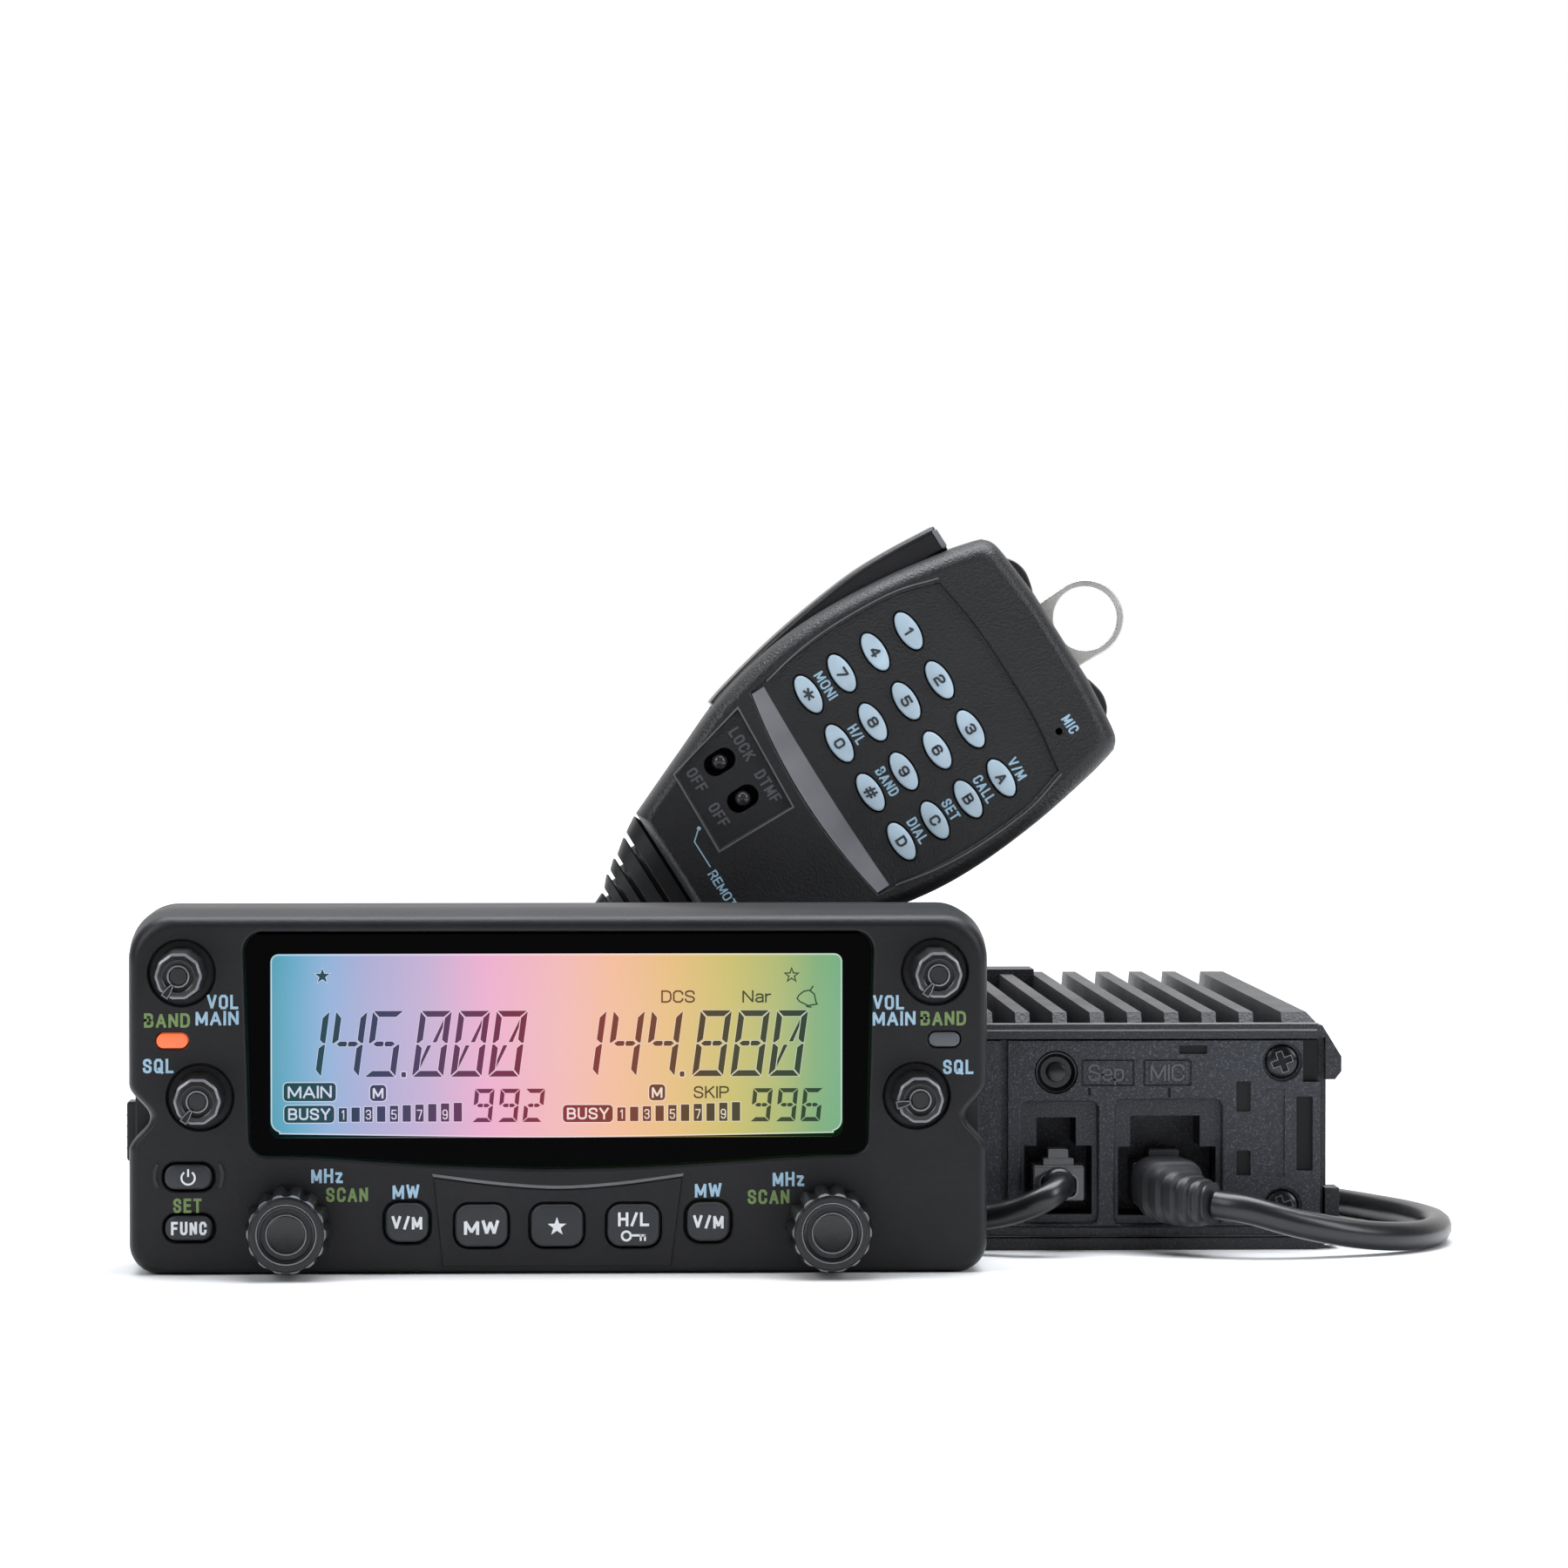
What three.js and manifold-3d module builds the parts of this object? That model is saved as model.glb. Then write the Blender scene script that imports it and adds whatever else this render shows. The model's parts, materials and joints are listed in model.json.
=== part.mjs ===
// Mobile transceiver: a control head, a finned main unit, a keypad microphone and their cords.
// Millimetres. +X is right, +Y is towards the rear and +Z is up. The origin is the centre of the
// main unit's base, and everything stands on z = 0.

import * as THREE from 'three';
import { mergeVertices } from 'three/addons/utils/BufferGeometryUtils.js';
import Module from 'manifold-3d';

const wasm = await Module();
wasm.setup();

// ---------------------------------------------------------------- driving dimensions

const GAP = 0.3; // clearance between pieces that touch

const HEAD = {
  x: -73.3, // centre of the head
  frontY: -126.5, // its front face
  width: 155,
  top: 66,
  depth: 30,
  split: 18, // where the front case ends and the rear cover starts
  wall: 2.4,
  lowerRadius: 5.5,
  upperRadius: 8,
};
const HEAD_NOTCH = { low: 22.3, high: 34.3, depth: 3.8 };
const WINDOW = {
  halfTop: 56.8,
  halfLow: 55.6,
  top: 61.8,
  radius: 3.5,
  sideLow: 24.5, // where each straight side ends
  low: 21.4,
  middle: 18.9,
};
const SMALL_KNOB = { radius: 4.3, skirt: 4.8, height: 12, dish: 6.1, stem: 2.5 };
const DIAL = { x: 48.7, z: 8.4, radius: 7.2, skirt: 7.9, height: 14.5, lobes: 14, shaft: 3 };
const LAMP = { x: 69.6, z: 42.2, width: 5.6, height: 2.6 };

const BODY = {
  width: 142,
  depth: 165,
  base: 2.5, // where the chassis walls start, above the bottom cover
  deck: 35.2, // floor of the fin valleys
  lipTop: 42.3,
  lipFace: 39.6,
  finTop: 44.2,
  wall: 3,
};
const FIN = { pitch: 7.03, width: 2.7, each: 8, shoulderIn: 62.9, shoulderOut: 67.7 };
const PANEL = { half: 69.6, low: 4.4, top: 39.3, frontY: -82, thick: 2.4 };
const PANEL_MARK = { x: 20, z: 33.3, outer: 4, inner: 2.7 }; // a round moulded mark
const PANEL_SCREW = { x: 62.5, heights: [35.2, 8], radius: 3.7 };
const CLIP = {
  out: 2.4, // how far each clip stands out from the side
  low: 0.8,
  foot: 1.9, // top of its foot, which runs in under the wall
  top: 11.4,
  front: 2, // behind the unit's front
  length: 8,
  relief: 0.6, // depth of the side wall's relief that it lies in
};
const SEP_RECESS = { x0: 13.4, x1: 27.8, z0: 5, z1: 27.8 };
const MIC_RECESS = { x0: 31, x1: 51.1, z0: 4.8, z1: 28.1 };
const ANTENNA = { x: 47, z: 22 };
const FAN = { z: 22.6, radius: 18, hub: 8.5, blades: 7, y0: 70, y1: 78.5 };

const MIC = {
  x: -5.8, // centre of the keypad
  y: -21, // the plane where its two halves meet
  z: 95.6,
  lean: 57.66, // degrees that the handset leans over to the right
  front: -15,
  back: 14.8,
  wall: 2.4,
  bottom: -52,
  crown: 36.2,
};
const KEY = { pitchX: 11.25, pitchZ: 7.65, width: 8.1, height: 3.9, front: -15.1, back: -11.5 };
const KEY_FLOOR = -14.2; // depth of the sunken keypad panel and of the switch panel
const RING = { z: 42.7, outer: 7.5, inner: 6.3, foot: 33.2, thick: 2 };
const SLIDER = { x: [-15, -6.6], z: -33, radius: 1.5, slotWidth: 4.4, slotHeight: 6.4 };

const MIC_CORD = 5.4; // diameters
const SEP_CORD = 4.9;
const CURL = 14; // outer diameter of the curly section

// Cord routes: points chosen by hand, in order from the plug.
const MIC_RUN = [
  [48.5, -97.6, 9.75], [54, -100.2, 9], [63.3, -100, 6.4], [74.6, -96.4, 4.1], [83.6, -90.5, 3.1],
  [90.6, -80, 2.9], [94.2, -63, 2.9], [92.5, -43, 2.9], [86, -22, 2.9], [79.2, -3, 2.9],
  [76.7, 17, 2.9], [76.5, 45, 2.9], [76.7, 68, 2.9], [76, 84, 2.9], [69.5, 94.5, 2.9], [56, 99.5, 2.9],
  [26, 99.5, 2.9], [4, 99.5, 2.9], [-17, 98.5, 3.3], [-31, 94, 9], [-37, 90.5, 22], [-39, 90, 36],
  [-39, 86.5, 47], [-37.6, 78.5, 51.4], [-36.2, 72.7, 51.4],
];
const MIC_CURL = [
  [-36, 72, 51.4], [-31, 52, 51.4], [-24, 30, 51.4], [-16, 8, 51.4], [-12.5, -14, 51.4],
  [-13, -34, 51.4], [-20, -49, 51.4], [-33, -58, 51.4], [-46, -60, 51.4], [-58, -60, 51.4],
];
const MIC_TAIL = [
  [-58.5, -60, 51.4], [-66, -60, 51], [-76, -57.5, 50], [-84.5, -50.5, 49.6], [-88.5, -40, 49.6],
  [-86, -29.5, 50.2], [-79.5, -23, 51.6], [-72.5, -21.2, 54], [-65.4, -21, 58],
];
const SEP_RUN = [
  [20.2, -89.3, 12.8], [20, -92.2, 12.6], [17, -95.6, 10.8], [11.5, -94.3, 8.4], [5, -91, 6.9],
  [-6, -89.5, 6], [-30, -89.5, 4.6], [-55, -89.5, 3.4], [-75, -88.5, 2.7], [-88, -83, 2.6],
  [-96, -72, 2.6], [-103, -61, 2.6], [-113, -57, 3], [-120, -63.5, 6.5], [-118.5, -73, 13],
  [-113, -82, 19.4], [-110.3, -89, 21.8], [-110, -94.5, 22],
];

// ---------------------------------------------------------------- materials

const material = (color, roughness, metalness = 0) =>
  new THREE.MeshStandardMaterial({ color, roughness, metalness });

const blackCase = material(0x1c1d21, 0.6);
const blackPlastic = material(0x121214, 0.5);
const glossBlack = material(0x050506, 0.08);
const buttonGrey = material(0x34363c, 0.5);
const castPaint = material(0x26272b, 0.62);
const screenGlass = material(0xd8a0b8, 0.15);
const lampRed = material(0xe8603c, 0.35);
const lampGrey = material(0x5a5c63, 0.4);
const boardGreen = material(0x1d4a30, 0.55);
const steel = material(0xb9b8b4, 0.3, 0.9);
const keyPale = material(0xcfdbe4, 0.45);
const cordBlack = material(0x101012, 0.45);
const clearPlug = material(0x9aa2a8, 0.15);

// ---------------------------------------------------------------- solids

// A closed geometry as a solid, with its faces turned out.
function solidOf(geometry) {
  geometry.deleteAttribute('normal');
  geometry.deleteAttribute('uv');
  const merged = mergeVertices(geometry, 1e-4);
  const triangles = Uint32Array.from(merged.index.array);
  const at = merged.attributes.position;
  const corner = (n) => new THREE.Vector3().fromBufferAttribute(at, triangles[n]);
  let volume = 0;
  for (let n = 0; n < triangles.length; n += 3) {
    volume += corner(n).dot(corner(n + 1).cross(corner(n + 2)));
  }
  if (volume < 0) {
    for (let n = 0; n < triangles.length; n += 3) {
      [triangles[n + 1], triangles[n + 2]] = [triangles[n + 2], triangles[n + 1]];
    }
  }
  const mesh = new wasm.Mesh({ numProp: 3, vertProperties: at.array, triVerts: triangles });
  return new wasm.Manifold(mesh);
}

const join = (solids) => solids.reduce((whole, next) => whole.add(next));
const cut = (solid, tools) => tools.reduce((whole, tool) => whole.subtract(tool), solid);

function addPiece(parent, name, solid, look) {
  const { vertProperties, triVerts } = solid.getMesh();
  const geometry = new THREE.BufferGeometry();
  geometry.setAttribute('position', new THREE.BufferAttribute(vertProperties, 3));
  geometry.setIndex(new THREE.BufferAttribute(triVerts, 1));
  geometry.computeVertexNormals();
  const mesh = new THREE.Mesh(geometry, look);
  mesh.name = name;
  parent.add(mesh);
}

const box = (x0, x1, y0, y1, z0, z1) =>
  solidOf(
    new THREE.BoxGeometry(Math.abs(x1 - x0), Math.abs(y1 - y0), Math.abs(z1 - z0)).translate(
      (x0 + x1) / 2,
      (y0 + y1) / 2,
      (z0 + z1) / 2,
    ),
  );

// A round bar along Y, which may taper from front to back.
const barY = (x, z, y0, y1, frontRadius, backRadius = frontRadius, sides = 20) =>
  solidOf(
    new THREE.CylinderGeometry(backRadius, frontRadius, y1 - y0, sides).translate(x, (y0 + y1) / 2, z),
  );

// A flat outline drawn in X and Z, made into a slab from y0 to y1.
const slab = (shape, y0, y1, curveSegments = 6) =>
  solidOf(
    new THREE.ExtrudeGeometry(shape, { depth: y1 - y0, bevelEnabled: false, curveSegments })
      .rotateX(Math.PI / 2)
      .translate(0, y1, 0),
  );

// The same with the front and back edges rounded off.
const softSlab = (shape, y0, y1, round, curveSegments = 3) =>
  solidOf(
    new THREE.ExtrudeGeometry(shape, {
      depth: y1 - y0 - 2 * round,
      bevelThickness: round,
      bevelSize: round,
      bevelOffset: -round,
      bevelSegments: 1,
      curveSegments,
    })
      .rotateX(Math.PI / 2)
      .translate(0, y1 - round, 0),
  );

// A flat outline drawn in Y and Z, made into a slab from x0 to x1.
const sideSlab = (shape, x0, x1) => {
  const turned = new THREE.Matrix4().makeBasis(
    new THREE.Vector3(0, 1, 0),
    new THREE.Vector3(0, 0, 1),
    new THREE.Vector3(1, 0, 0),
  );
  const options = { depth: x1 - x0, bevelEnabled: false, curveSegments: 4 };
  return solidOf(new THREE.ExtrudeGeometry(shape, options).applyMatrix4(turned).translate(x0, 0, 0));
};

function polygon(points) {
  return new THREE.Shape(points.map(([u, v]) => new THREE.Vector2(u, v)));
}

function roundedRect(x, z, width, height, radius) {
  const shape = new THREE.Shape();
  const w = width / 2 - radius;
  const h = height / 2 - radius;
  shape.absarc(x + w, z + h, radius, 0, Math.PI / 2);
  shape.absarc(x - w, z + h, radius, Math.PI / 2, Math.PI);
  shape.absarc(x - w, z - h, radius, Math.PI, Math.PI * 1.5);
  shape.absarc(x + w, z - h, radius, Math.PI * 1.5, Math.PI * 2);
  return shape;
}

function ellipse(x, z, width, height) {
  const shape = new THREE.Shape();
  shape.absellipse(x, z, width / 2, height / 2, 0, Math.PI * 2);
  return shape;
}

// A closed solid through a row of rings. A ring is a flat outline with equal point counts, anticlockwise
// from the front, and place(point, ring) puts it in space.
function loft(rings, place) {
  const count = rings[0].outline.length;
  const positions = [];
  const index = [];
  for (const ring of rings) {
    for (const point of ring.outline) positions.push(...place(point, ring));
  }
  for (let r = 0; r + 1 < rings.length; r++) {
    for (let i = 0; i < count; i++) {
      const a = r * count + i;
      const b = r * count + ((i + 1) % count);
      index.push(a, a + count, b, b, a + count, b + count);
    }
  }
  const last = (rings.length - 1) * count;
  for (const [a, b, c] of THREE.ShapeUtils.triangulateShape(rings[0].outline, [])) {
    index.push(a, b, c);
  }
  for (const [a, b, c] of THREE.ShapeUtils.triangulateShape(rings.at(-1).outline, [])) {
    index.push(last + a, last + c, last + b);
  }
  const geometry = new THREE.BufferGeometry();
  geometry.setAttribute('position', new THREE.Float32BufferAttribute(positions, 3));
  geometry.setIndex(index);
  return solidOf(geometry);
}

const alongY = (point, ring) => [point.x, ring.y, point.y];

// A cord along a smooth curve through its route's points.
function cord(route, diameter, steps, sides) {
  const points = route.map((point) => new THREE.Vector3(...point));
  const path = new THREE.CatmullRomCurve3(points, false, 'centripetal');
  const section = [];
  for (let i = 0; i < sides; i++) {
    const angle = ((i + 0.5) / sides) * Math.PI * 2;
    section.push([(Math.cos(angle) * diameter) / 2, (Math.sin(angle) * diameter) / 2]);
  }
  const options = { steps, extrudePath: path, bevelEnabled: false };
  return solidOf(new THREE.ExtrudeGeometry(polygon(section), options));
}

// ---------------------------------------------------------------- control head

// Outline of the head seen from the front: rounded corners and a finger notch in each side.
function headOutline(inset, top, bottom) {
  const half = HEAD.width / 2 - inset;
  const points = [];
  const corner = (hand, z, radius, start) => {
    const steps = 5;
    for (let i = 0; i <= steps; i++) {
      const angle = start + (i / steps) * (Math.PI / 2);
      const x = hand * (half - radius) + radius * Math.cos(angle);
      points.push(new THREE.Vector2(x, z + radius * Math.sin(angle)));
    }
  };
  const notch = (hand) => {
    const steps = 8;
    for (let i = 0; i <= steps; i++) {
      const up = hand > 0 ? i / steps : 1 - i / steps;
      const dip = (HEAD_NOTCH.depth / 2) * (1 - Math.cos(2 * Math.PI * up));
      const z = HEAD_NOTCH.low + up * (HEAD_NOTCH.high - HEAD_NOTCH.low);
      points.push(new THREE.Vector2(hand * (half - dip), z));
    }
  };
  corner(1, bottom + HEAD.lowerRadius, HEAD.lowerRadius, -Math.PI / 2);
  notch(1);
  corner(1, top - HEAD.upperRadius, HEAD.upperRadius, 0);
  corner(-1, top - HEAD.upperRadius, HEAD.upperRadius, Math.PI / 2);
  notch(-1);
  corner(-1, bottom + HEAD.lowerRadius, HEAD.lowerRadius, Math.PI);
  return points;
}

// Each station is [y, inset of the sides, top, bottom].
function headShell(stations) {
  const ring = ([y, inset, top, bottom]) => ({ y, outline: headOutline(inset, top, bottom) });
  return loft(stations.map(ring), alongY);
}

// The window's outline: straight above, and bowed down in the middle below.
function windowShape(inset) {
  const { halfTop, halfLow, top, radius, sideLow, low, middle } = WINDOW;
  const shape = new THREE.Shape();
  shape.moveTo(-halfTop + radius + inset, top - inset);
  shape.quadraticCurveTo(-halfTop + inset, top - inset, -halfTop + inset, top - radius - inset);
  shape.lineTo(-halfLow + inset, sideLow);
  shape.lineTo(-halfLow + 3 + inset, low + inset);
  shape.lineTo(-45, low + inset);
  shape.quadraticCurveTo(-22, middle + inset, 0, middle + inset);
  shape.quadraticCurveTo(22, middle + inset, 45, low + inset);
  shape.lineTo(halfLow - 3 - inset, low + inset);
  shape.lineTo(halfLow - inset, sideLow);
  shape.lineTo(halfTop - inset, top - radius - inset);
  shape.quadraticCurveTo(halfTop - inset, top - inset, halfTop - radius - inset, top - inset);
  return shape;
}

const headButtons = [
  { name: 'power_button', x: -66.7, z: 17.7, width: 8.5, height: 4.4, radius: 1.9 },
  { name: 'func_button', x: -66.6, z: 8.5, width: 8.5, height: 4.4, radius: 1.9 },
  { name: 'vm_button_left', x: -27.4, z: 9.4, width: 7.7, height: 7, radius: 2.4 },
  { name: 'mw_button', x: -14, z: 8.8, width: 9.4, height: 7.6, radius: 2.4 },
  { name: 'star_button', x: -0.4, z: 8.8, width: 9.4, height: 7.6, radius: 2.4 },
  { name: 'hl_button', x: 13.4, z: 8.8, width: 9.4, height: 7.6, radius: 2.4 },
  { name: 'vm_button_right', x: 26.9, z: 9.4, width: 7.7, height: 7, radius: 2.4 },
];
const smallKnobs = [
  { name: 'vol_knob_left', x: -67.9, z: 54.4, pointer: 236 },
  { name: 'vol_knob_right', x: 67.9, z: 54.4, pointer: 236 },
  { name: 'sql_knob_left', x: -64.6, z: 32, pointer: 236 },
  { name: 'sql_knob_right', x: 64.6, z: 32, pointer: 192 },
];
const BUTTON_FRONT = -1.1;
const BUTTON_BACK = 5;
const BUTTON_CLEARANCE = 0.35;
const REAR_JACK = { x: -36.7, z: 22, boss: 5.5, hole: 2.9, depth: 5 };

const head = new THREE.Group();
head.position.set(HEAD.x, HEAD.frontY, 0);

function frontCase() {
  const outer = headShell([
    [0, 1.7, 62.5, 1.1],
    [0.9, 0.6, 63.8, 0.4],
    [3, 0, 64.8, 0],
    [10, 0, HEAD.top, 0],
    [HEAD.split, 0, HEAD.top, 0],
  ]);
  const cavity = headShell([
    [2.6, HEAD.wall, 61.2, HEAD.wall],
    [10, HEAD.wall, HEAD.top - HEAD.wall, HEAD.wall],
    [HEAD.split + 1, HEAD.wall, HEAD.top - HEAD.wall, HEAD.wall],
  ]);
  const tools = [cavity, slab(windowShape(0), -1, 4)];
  for (const { x, z, width, height, radius } of headButtons) {
    const grow = 2 * BUTTON_CLEARANCE;
    tools.push(slab(roundedRect(x, z, width + grow, height + grow, radius + BUTTON_CLEARANCE), -1, 4, 2));
  }
  for (const { x, z } of smallKnobs) {
    tools.push(barY(x, z, -0.5, 1.4, SMALL_KNOB.dish, SMALL_KNOB.dish - 0.7, 18));
    tools.push(barY(x, z, 1, 4, SMALL_KNOB.stem + 0.5, SMALL_KNOB.stem + 0.5, 12));
  }
  for (const hand of [-1, 1]) {
    const lampHole = roundedRect(hand * LAMP.x, LAMP.z, LAMP.width + 0.6, LAMP.height + 0.6, 1.4);
    tools.push(barY(hand * DIAL.x, DIAL.z, -1, 4, DIAL.shaft + 0.5, DIAL.shaft + 0.5, 16));
    tools.push(slab(lampHole, -1, 4, 1));
  }
  return cut(outer, tools);
}

// The rear cover, with a release tab at its left edge and a jack for the separation cord.
function rearCover() {
  const start = HEAD.split + GAP;
  const outer = headShell([
    [start, 0, HEAD.top, 0],
    [26, 0, HEAD.top, 0],
    [28.6, 1.2, HEAD.top - 1.2, 0],
    [HEAD.depth, 3.5, HEAD.top - 3.5, 1.5],
  ]);
  const cavity = headShell([
    [start - 1, HEAD.wall, HEAD.top - HEAD.wall, HEAD.wall],
    [27.4, HEAD.wall, HEAD.top - HEAD.wall, HEAD.wall],
  ]);
  const { x, z, boss, hole, depth } = REAR_JACK;
  const releaseTab = box(-HEAD.width / 2 - 1.5, -HEAD.width / 2 + 1, 20, 26, 19, 30);
  const jackBoss = barY(x, z, HEAD.depth - depth - 2, HEAD.depth - 1, boss);
  const jackHole = barY(x, z, HEAD.depth - depth, HEAD.depth + 1, hole, hole, 16);
  return cut(join([cut(outer, [cavity]), releaseTab, jackBoss]), [jackHole]);
}

// Volume and squelch knobs: a ten-sided grip, a sunk centre, a pointer and a thin stem into the case.
function smallKnob({ x, z, pointer }) {
  const { radius, skirt, height, stem } = SMALL_KNOB;
  const tip = -height;
  const grip = barY(x, z, tip, 0.9, radius, skirt, 10);
  const cap = barY(x, z, tip - 1, tip + 2, 1.9, 1.9, 14);
  const centre = cut(barY(x, z, tip - 0.1, tip + 0.7, 3.1, 3.1, 14), [cap]);
  const angle = THREE.MathUtils.degToRad(pointer);
  const mark = new THREE.BoxGeometry(2.6, 1, 1.1)
    .translate(3, tip - 0.1, 0)
    .rotateY(-angle)
    .translate(x, 0, z);
  return join([cut(grip, [centre]), solidOf(mark), barY(x, z, 0.5, 8.4, stem, stem, 12)]);
}

// A large dial: a fluted grip with a ring-shaped dish in its face, bored for its shaft.
function dialKnob(x) {
  const { z, radius, skirt, height, lobes, shaft } = DIAL;
  const ring = (y, size, depth) => {
    const outline = [];
    const count = lobes * 4;
    for (let i = 0; i < count; i++) {
      const angle = (i / count) * Math.PI * 2;
      const reach = size - depth * (1 - Math.cos(angle * lobes)) * 0.5;
      outline.push(new THREE.Vector2(x + reach * Math.cos(angle), z + reach * Math.sin(angle)));
    }
    return { y, outline };
  };
  const front = -height;
  const rings = [ring(front, radius - 0.9, 0), ring(front + 0.8, radius, 0.5), ring(-0.7, skirt, 0.8)];
  const cap = barY(x, z, front - 2, front + 2, 3.4, 3.4, 28);
  const dish = cut(barY(x, z, front - 1, front + 0.8, 5.4, 5.4, 28), [cap]);
  const bore = barY(x, z, front + 3, 1, shaft + GAP, shaft + GAP, 16);
  return cut(loft(rings, alongY), [dish, bore]);
}

addPiece(head, 'head_front_case', frontCase(), blackCase);
addPiece(head, 'head_rear_cover', rearCover(), blackCase);
addPiece(head, 'display_window', slab(windowShape(GAP + 0.1), 0.7, 2.4), glossBlack);
addPiece(head, 'lcd_module', box(-54.5, 54.5, 2.9, 7.5, 19.6, 60.4), screenGlass);
addPiece(head, 'head_circuit_board', box(-70, 70, 9.5, 11.1, 3.4, 61), boardGreen);
for (const knob of smallKnobs) addPiece(head, knob.name, smallKnob(knob), blackPlastic);
for (const { name, x, z, width, height, radius } of headButtons) {
  const outline = roundedRect(x, z, width, height, radius);
  addPiece(head, name, softSlab(outline, BUTTON_FRONT, BUTTON_BACK, 0.5, 2), buttonGrey);
}
for (const [hand, word, look] of [[-1, 'left', lampRed], [1, 'right', lampGrey]]) {
  const x = hand * DIAL.x;
  const shaft = barY(x, DIAL.z, 3.3 - DIAL.height, 8.6, DIAL.shaft, DIAL.shaft, 16);
  const lamp = roundedRect(hand * LAMP.x, LAMP.z, LAMP.width, LAMP.height, 1.2);
  addPiece(head, `dial_knob_${word}`, dialKnob(x), blackPlastic);
  addPiece(head, `dial_shaft_${word}`, shaft, steel);
  addPiece(head, `band_lamp_${word}`, softSlab(lamp, -0.1, 5, 0.3, 1), look);
}

// ---------------------------------------------------------------- main unit

const mainUnit = new THREE.Group();
const unitFront = -BODY.depth / 2;
const unitRear = BODY.depth / 2;
const unitSide = BODY.width / 2;

// Cross-section of the casting: side walls, a deck over the works, cooling fins and sloped shoulders.
function castingSection() {
  const { base, deck, finTop, wall } = BODY;
  const points = [
    [unitSide - wall, deck - wall], [unitSide - wall, base], [unitSide, base], [unitSide, finTop - 3.7],
    [FIN.shoulderOut, finTop], [FIN.shoulderIn, finTop], [FIN.shoulderIn, deck],
  ];
  const half = FIN.width / 2;
  for (let n = FIN.each; n > -FIN.each - 1; n--) {
    const x = n * FIN.pitch;
    points.push([x + half, deck], [x + half, finTop], [x - half, finTop], [x - half, deck]);
  }
  for (const [x, z] of points.slice(0, 7).reverse()) points.push([-x, z]);
  return polygon(points);
}

// The casting: the section above, a rear wall, a plain boss over the fan, and a lip and ears in front.
function chassis() {
  const { base, deck, lipTop, lipFace, finTop, wall } = BODY;
  const frontSlope = polygon([
    [unitFront, finTop + 1],
    [unitFront, lipTop - 0.4],
    [unitFront + 5.2, lipTop - 0.4],
    [unitFront + 8, finTop + 1],
  ]);
  const rearSlope = polygon([
    [unitRear - 4, finTop + 1.2],
    [unitRear + 1, finTop - 3.8],
    [unitRear + 1, finTop + 1.2],
  ]);
  const casting = cut(slab(castingSection(), unitFront + 3.2, unitRear), [
    sideSlab(frontSlope, -unitSide - 1, unitSide + 1),
    sideSlab(rearSlope, -unitSide - 1, unitSide + 1),
  ]);
  const pieces = [
    casting,
    box(-unitSide + 1, unitSide - 1, unitRear - wall, unitRear - 0.5, base + 0.4, deck - 1),
    box(-27, 27, unitRear - 13.2, unitRear - 0.25, deck - 1, finTop + 1),
    box(-69.2, 69.2, unitFront, unitFront + 5.5, lipFace, lipTop),
    box(-70, 70, unitFront + 3.35, unitFront + 5.3, deck - 1, lipTop - 0.6),
  ];
  for (const hand of [-1, 1]) {
    const ear = polygon([
      [hand * 66, lipTop - 0.25], [hand * 70, lipTop - 0.25], [hand * 73.6, 36.2], [hand * 73.6, 33.4],
      [hand * 72.4, 31.9], [hand * 70.6, 31.9], [hand * 70.6, lipFace + 0.2], [hand * 66, lipFace + 0.2],
    ]);
    pieces.push(slab(ear, unitFront + 0.2, unitFront + 9));
  }
  const fanBore = FAN.radius + 0.8;
  const tools = [
    barY(0, FAN.z, FAN.y0 - 1.5, unitRear + 1, fanBore, fanBore, 32),
    box(-62, -52, unitRear - 2, unitRear + 1, 8, 14),
    barY(ANTENNA.x, ANTENNA.z, unitRear - 5, unitRear + 1, 5.5, 5.5, 20),
  ];
  for (const z of [12, 30]) tools.push(barY(-46, z, unitRear - 2, unitRear + 1, 3.2, 3.2, 12));
  // The flat side starts behind and above each clip, so that a bracket lies on it without meeting the clip.
  for (const hand of [-1, 1]) {
    const inside = hand * (unitSide - CLIP.relief);
    const outside = hand * (unitSide + 1);
    const behind = unitFront + CLIP.front + CLIP.length + GAP;
    tools.push(box(inside, outside, unitFront - 1, behind, base - 1, CLIP.top + GAP));
  }
  return cut(join(pieces), tools);
}

// The bottom cover: a plate with rounded long edges and an upright clip at each front corner.
function bottomCover() {
  const shape = new THREE.Shape();
  shape.moveTo(-unitSide, BODY.base - GAP);
  shape.quadraticCurveTo(-unitSide, 0, -unitSide + 4, 0);
  shape.lineTo(unitSide - 4, 0);
  shape.quadraticCurveTo(unitSide, 0, unitSide, BODY.base - GAP);
  const pieces = [slab(shape, unitFront, unitRear)];
  const { out, low, foot, top, front, length, relief } = CLIP;
  for (const hand of [-1, 1]) {
    const rooted = hand * (unitSide - 2);
    const inside = hand * (unitSide - relief + GAP);
    const outside = hand * (unitSide + out);
    const clip = polygon([
      [rooted, low], [outside, low], [outside, top], [inside, top], [inside, foot], [rooted, foot],
    ]);
    pieces.push(slab(clip, unitFront + front, unitFront + front + length));
  }
  return join(pieces);
}

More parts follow.
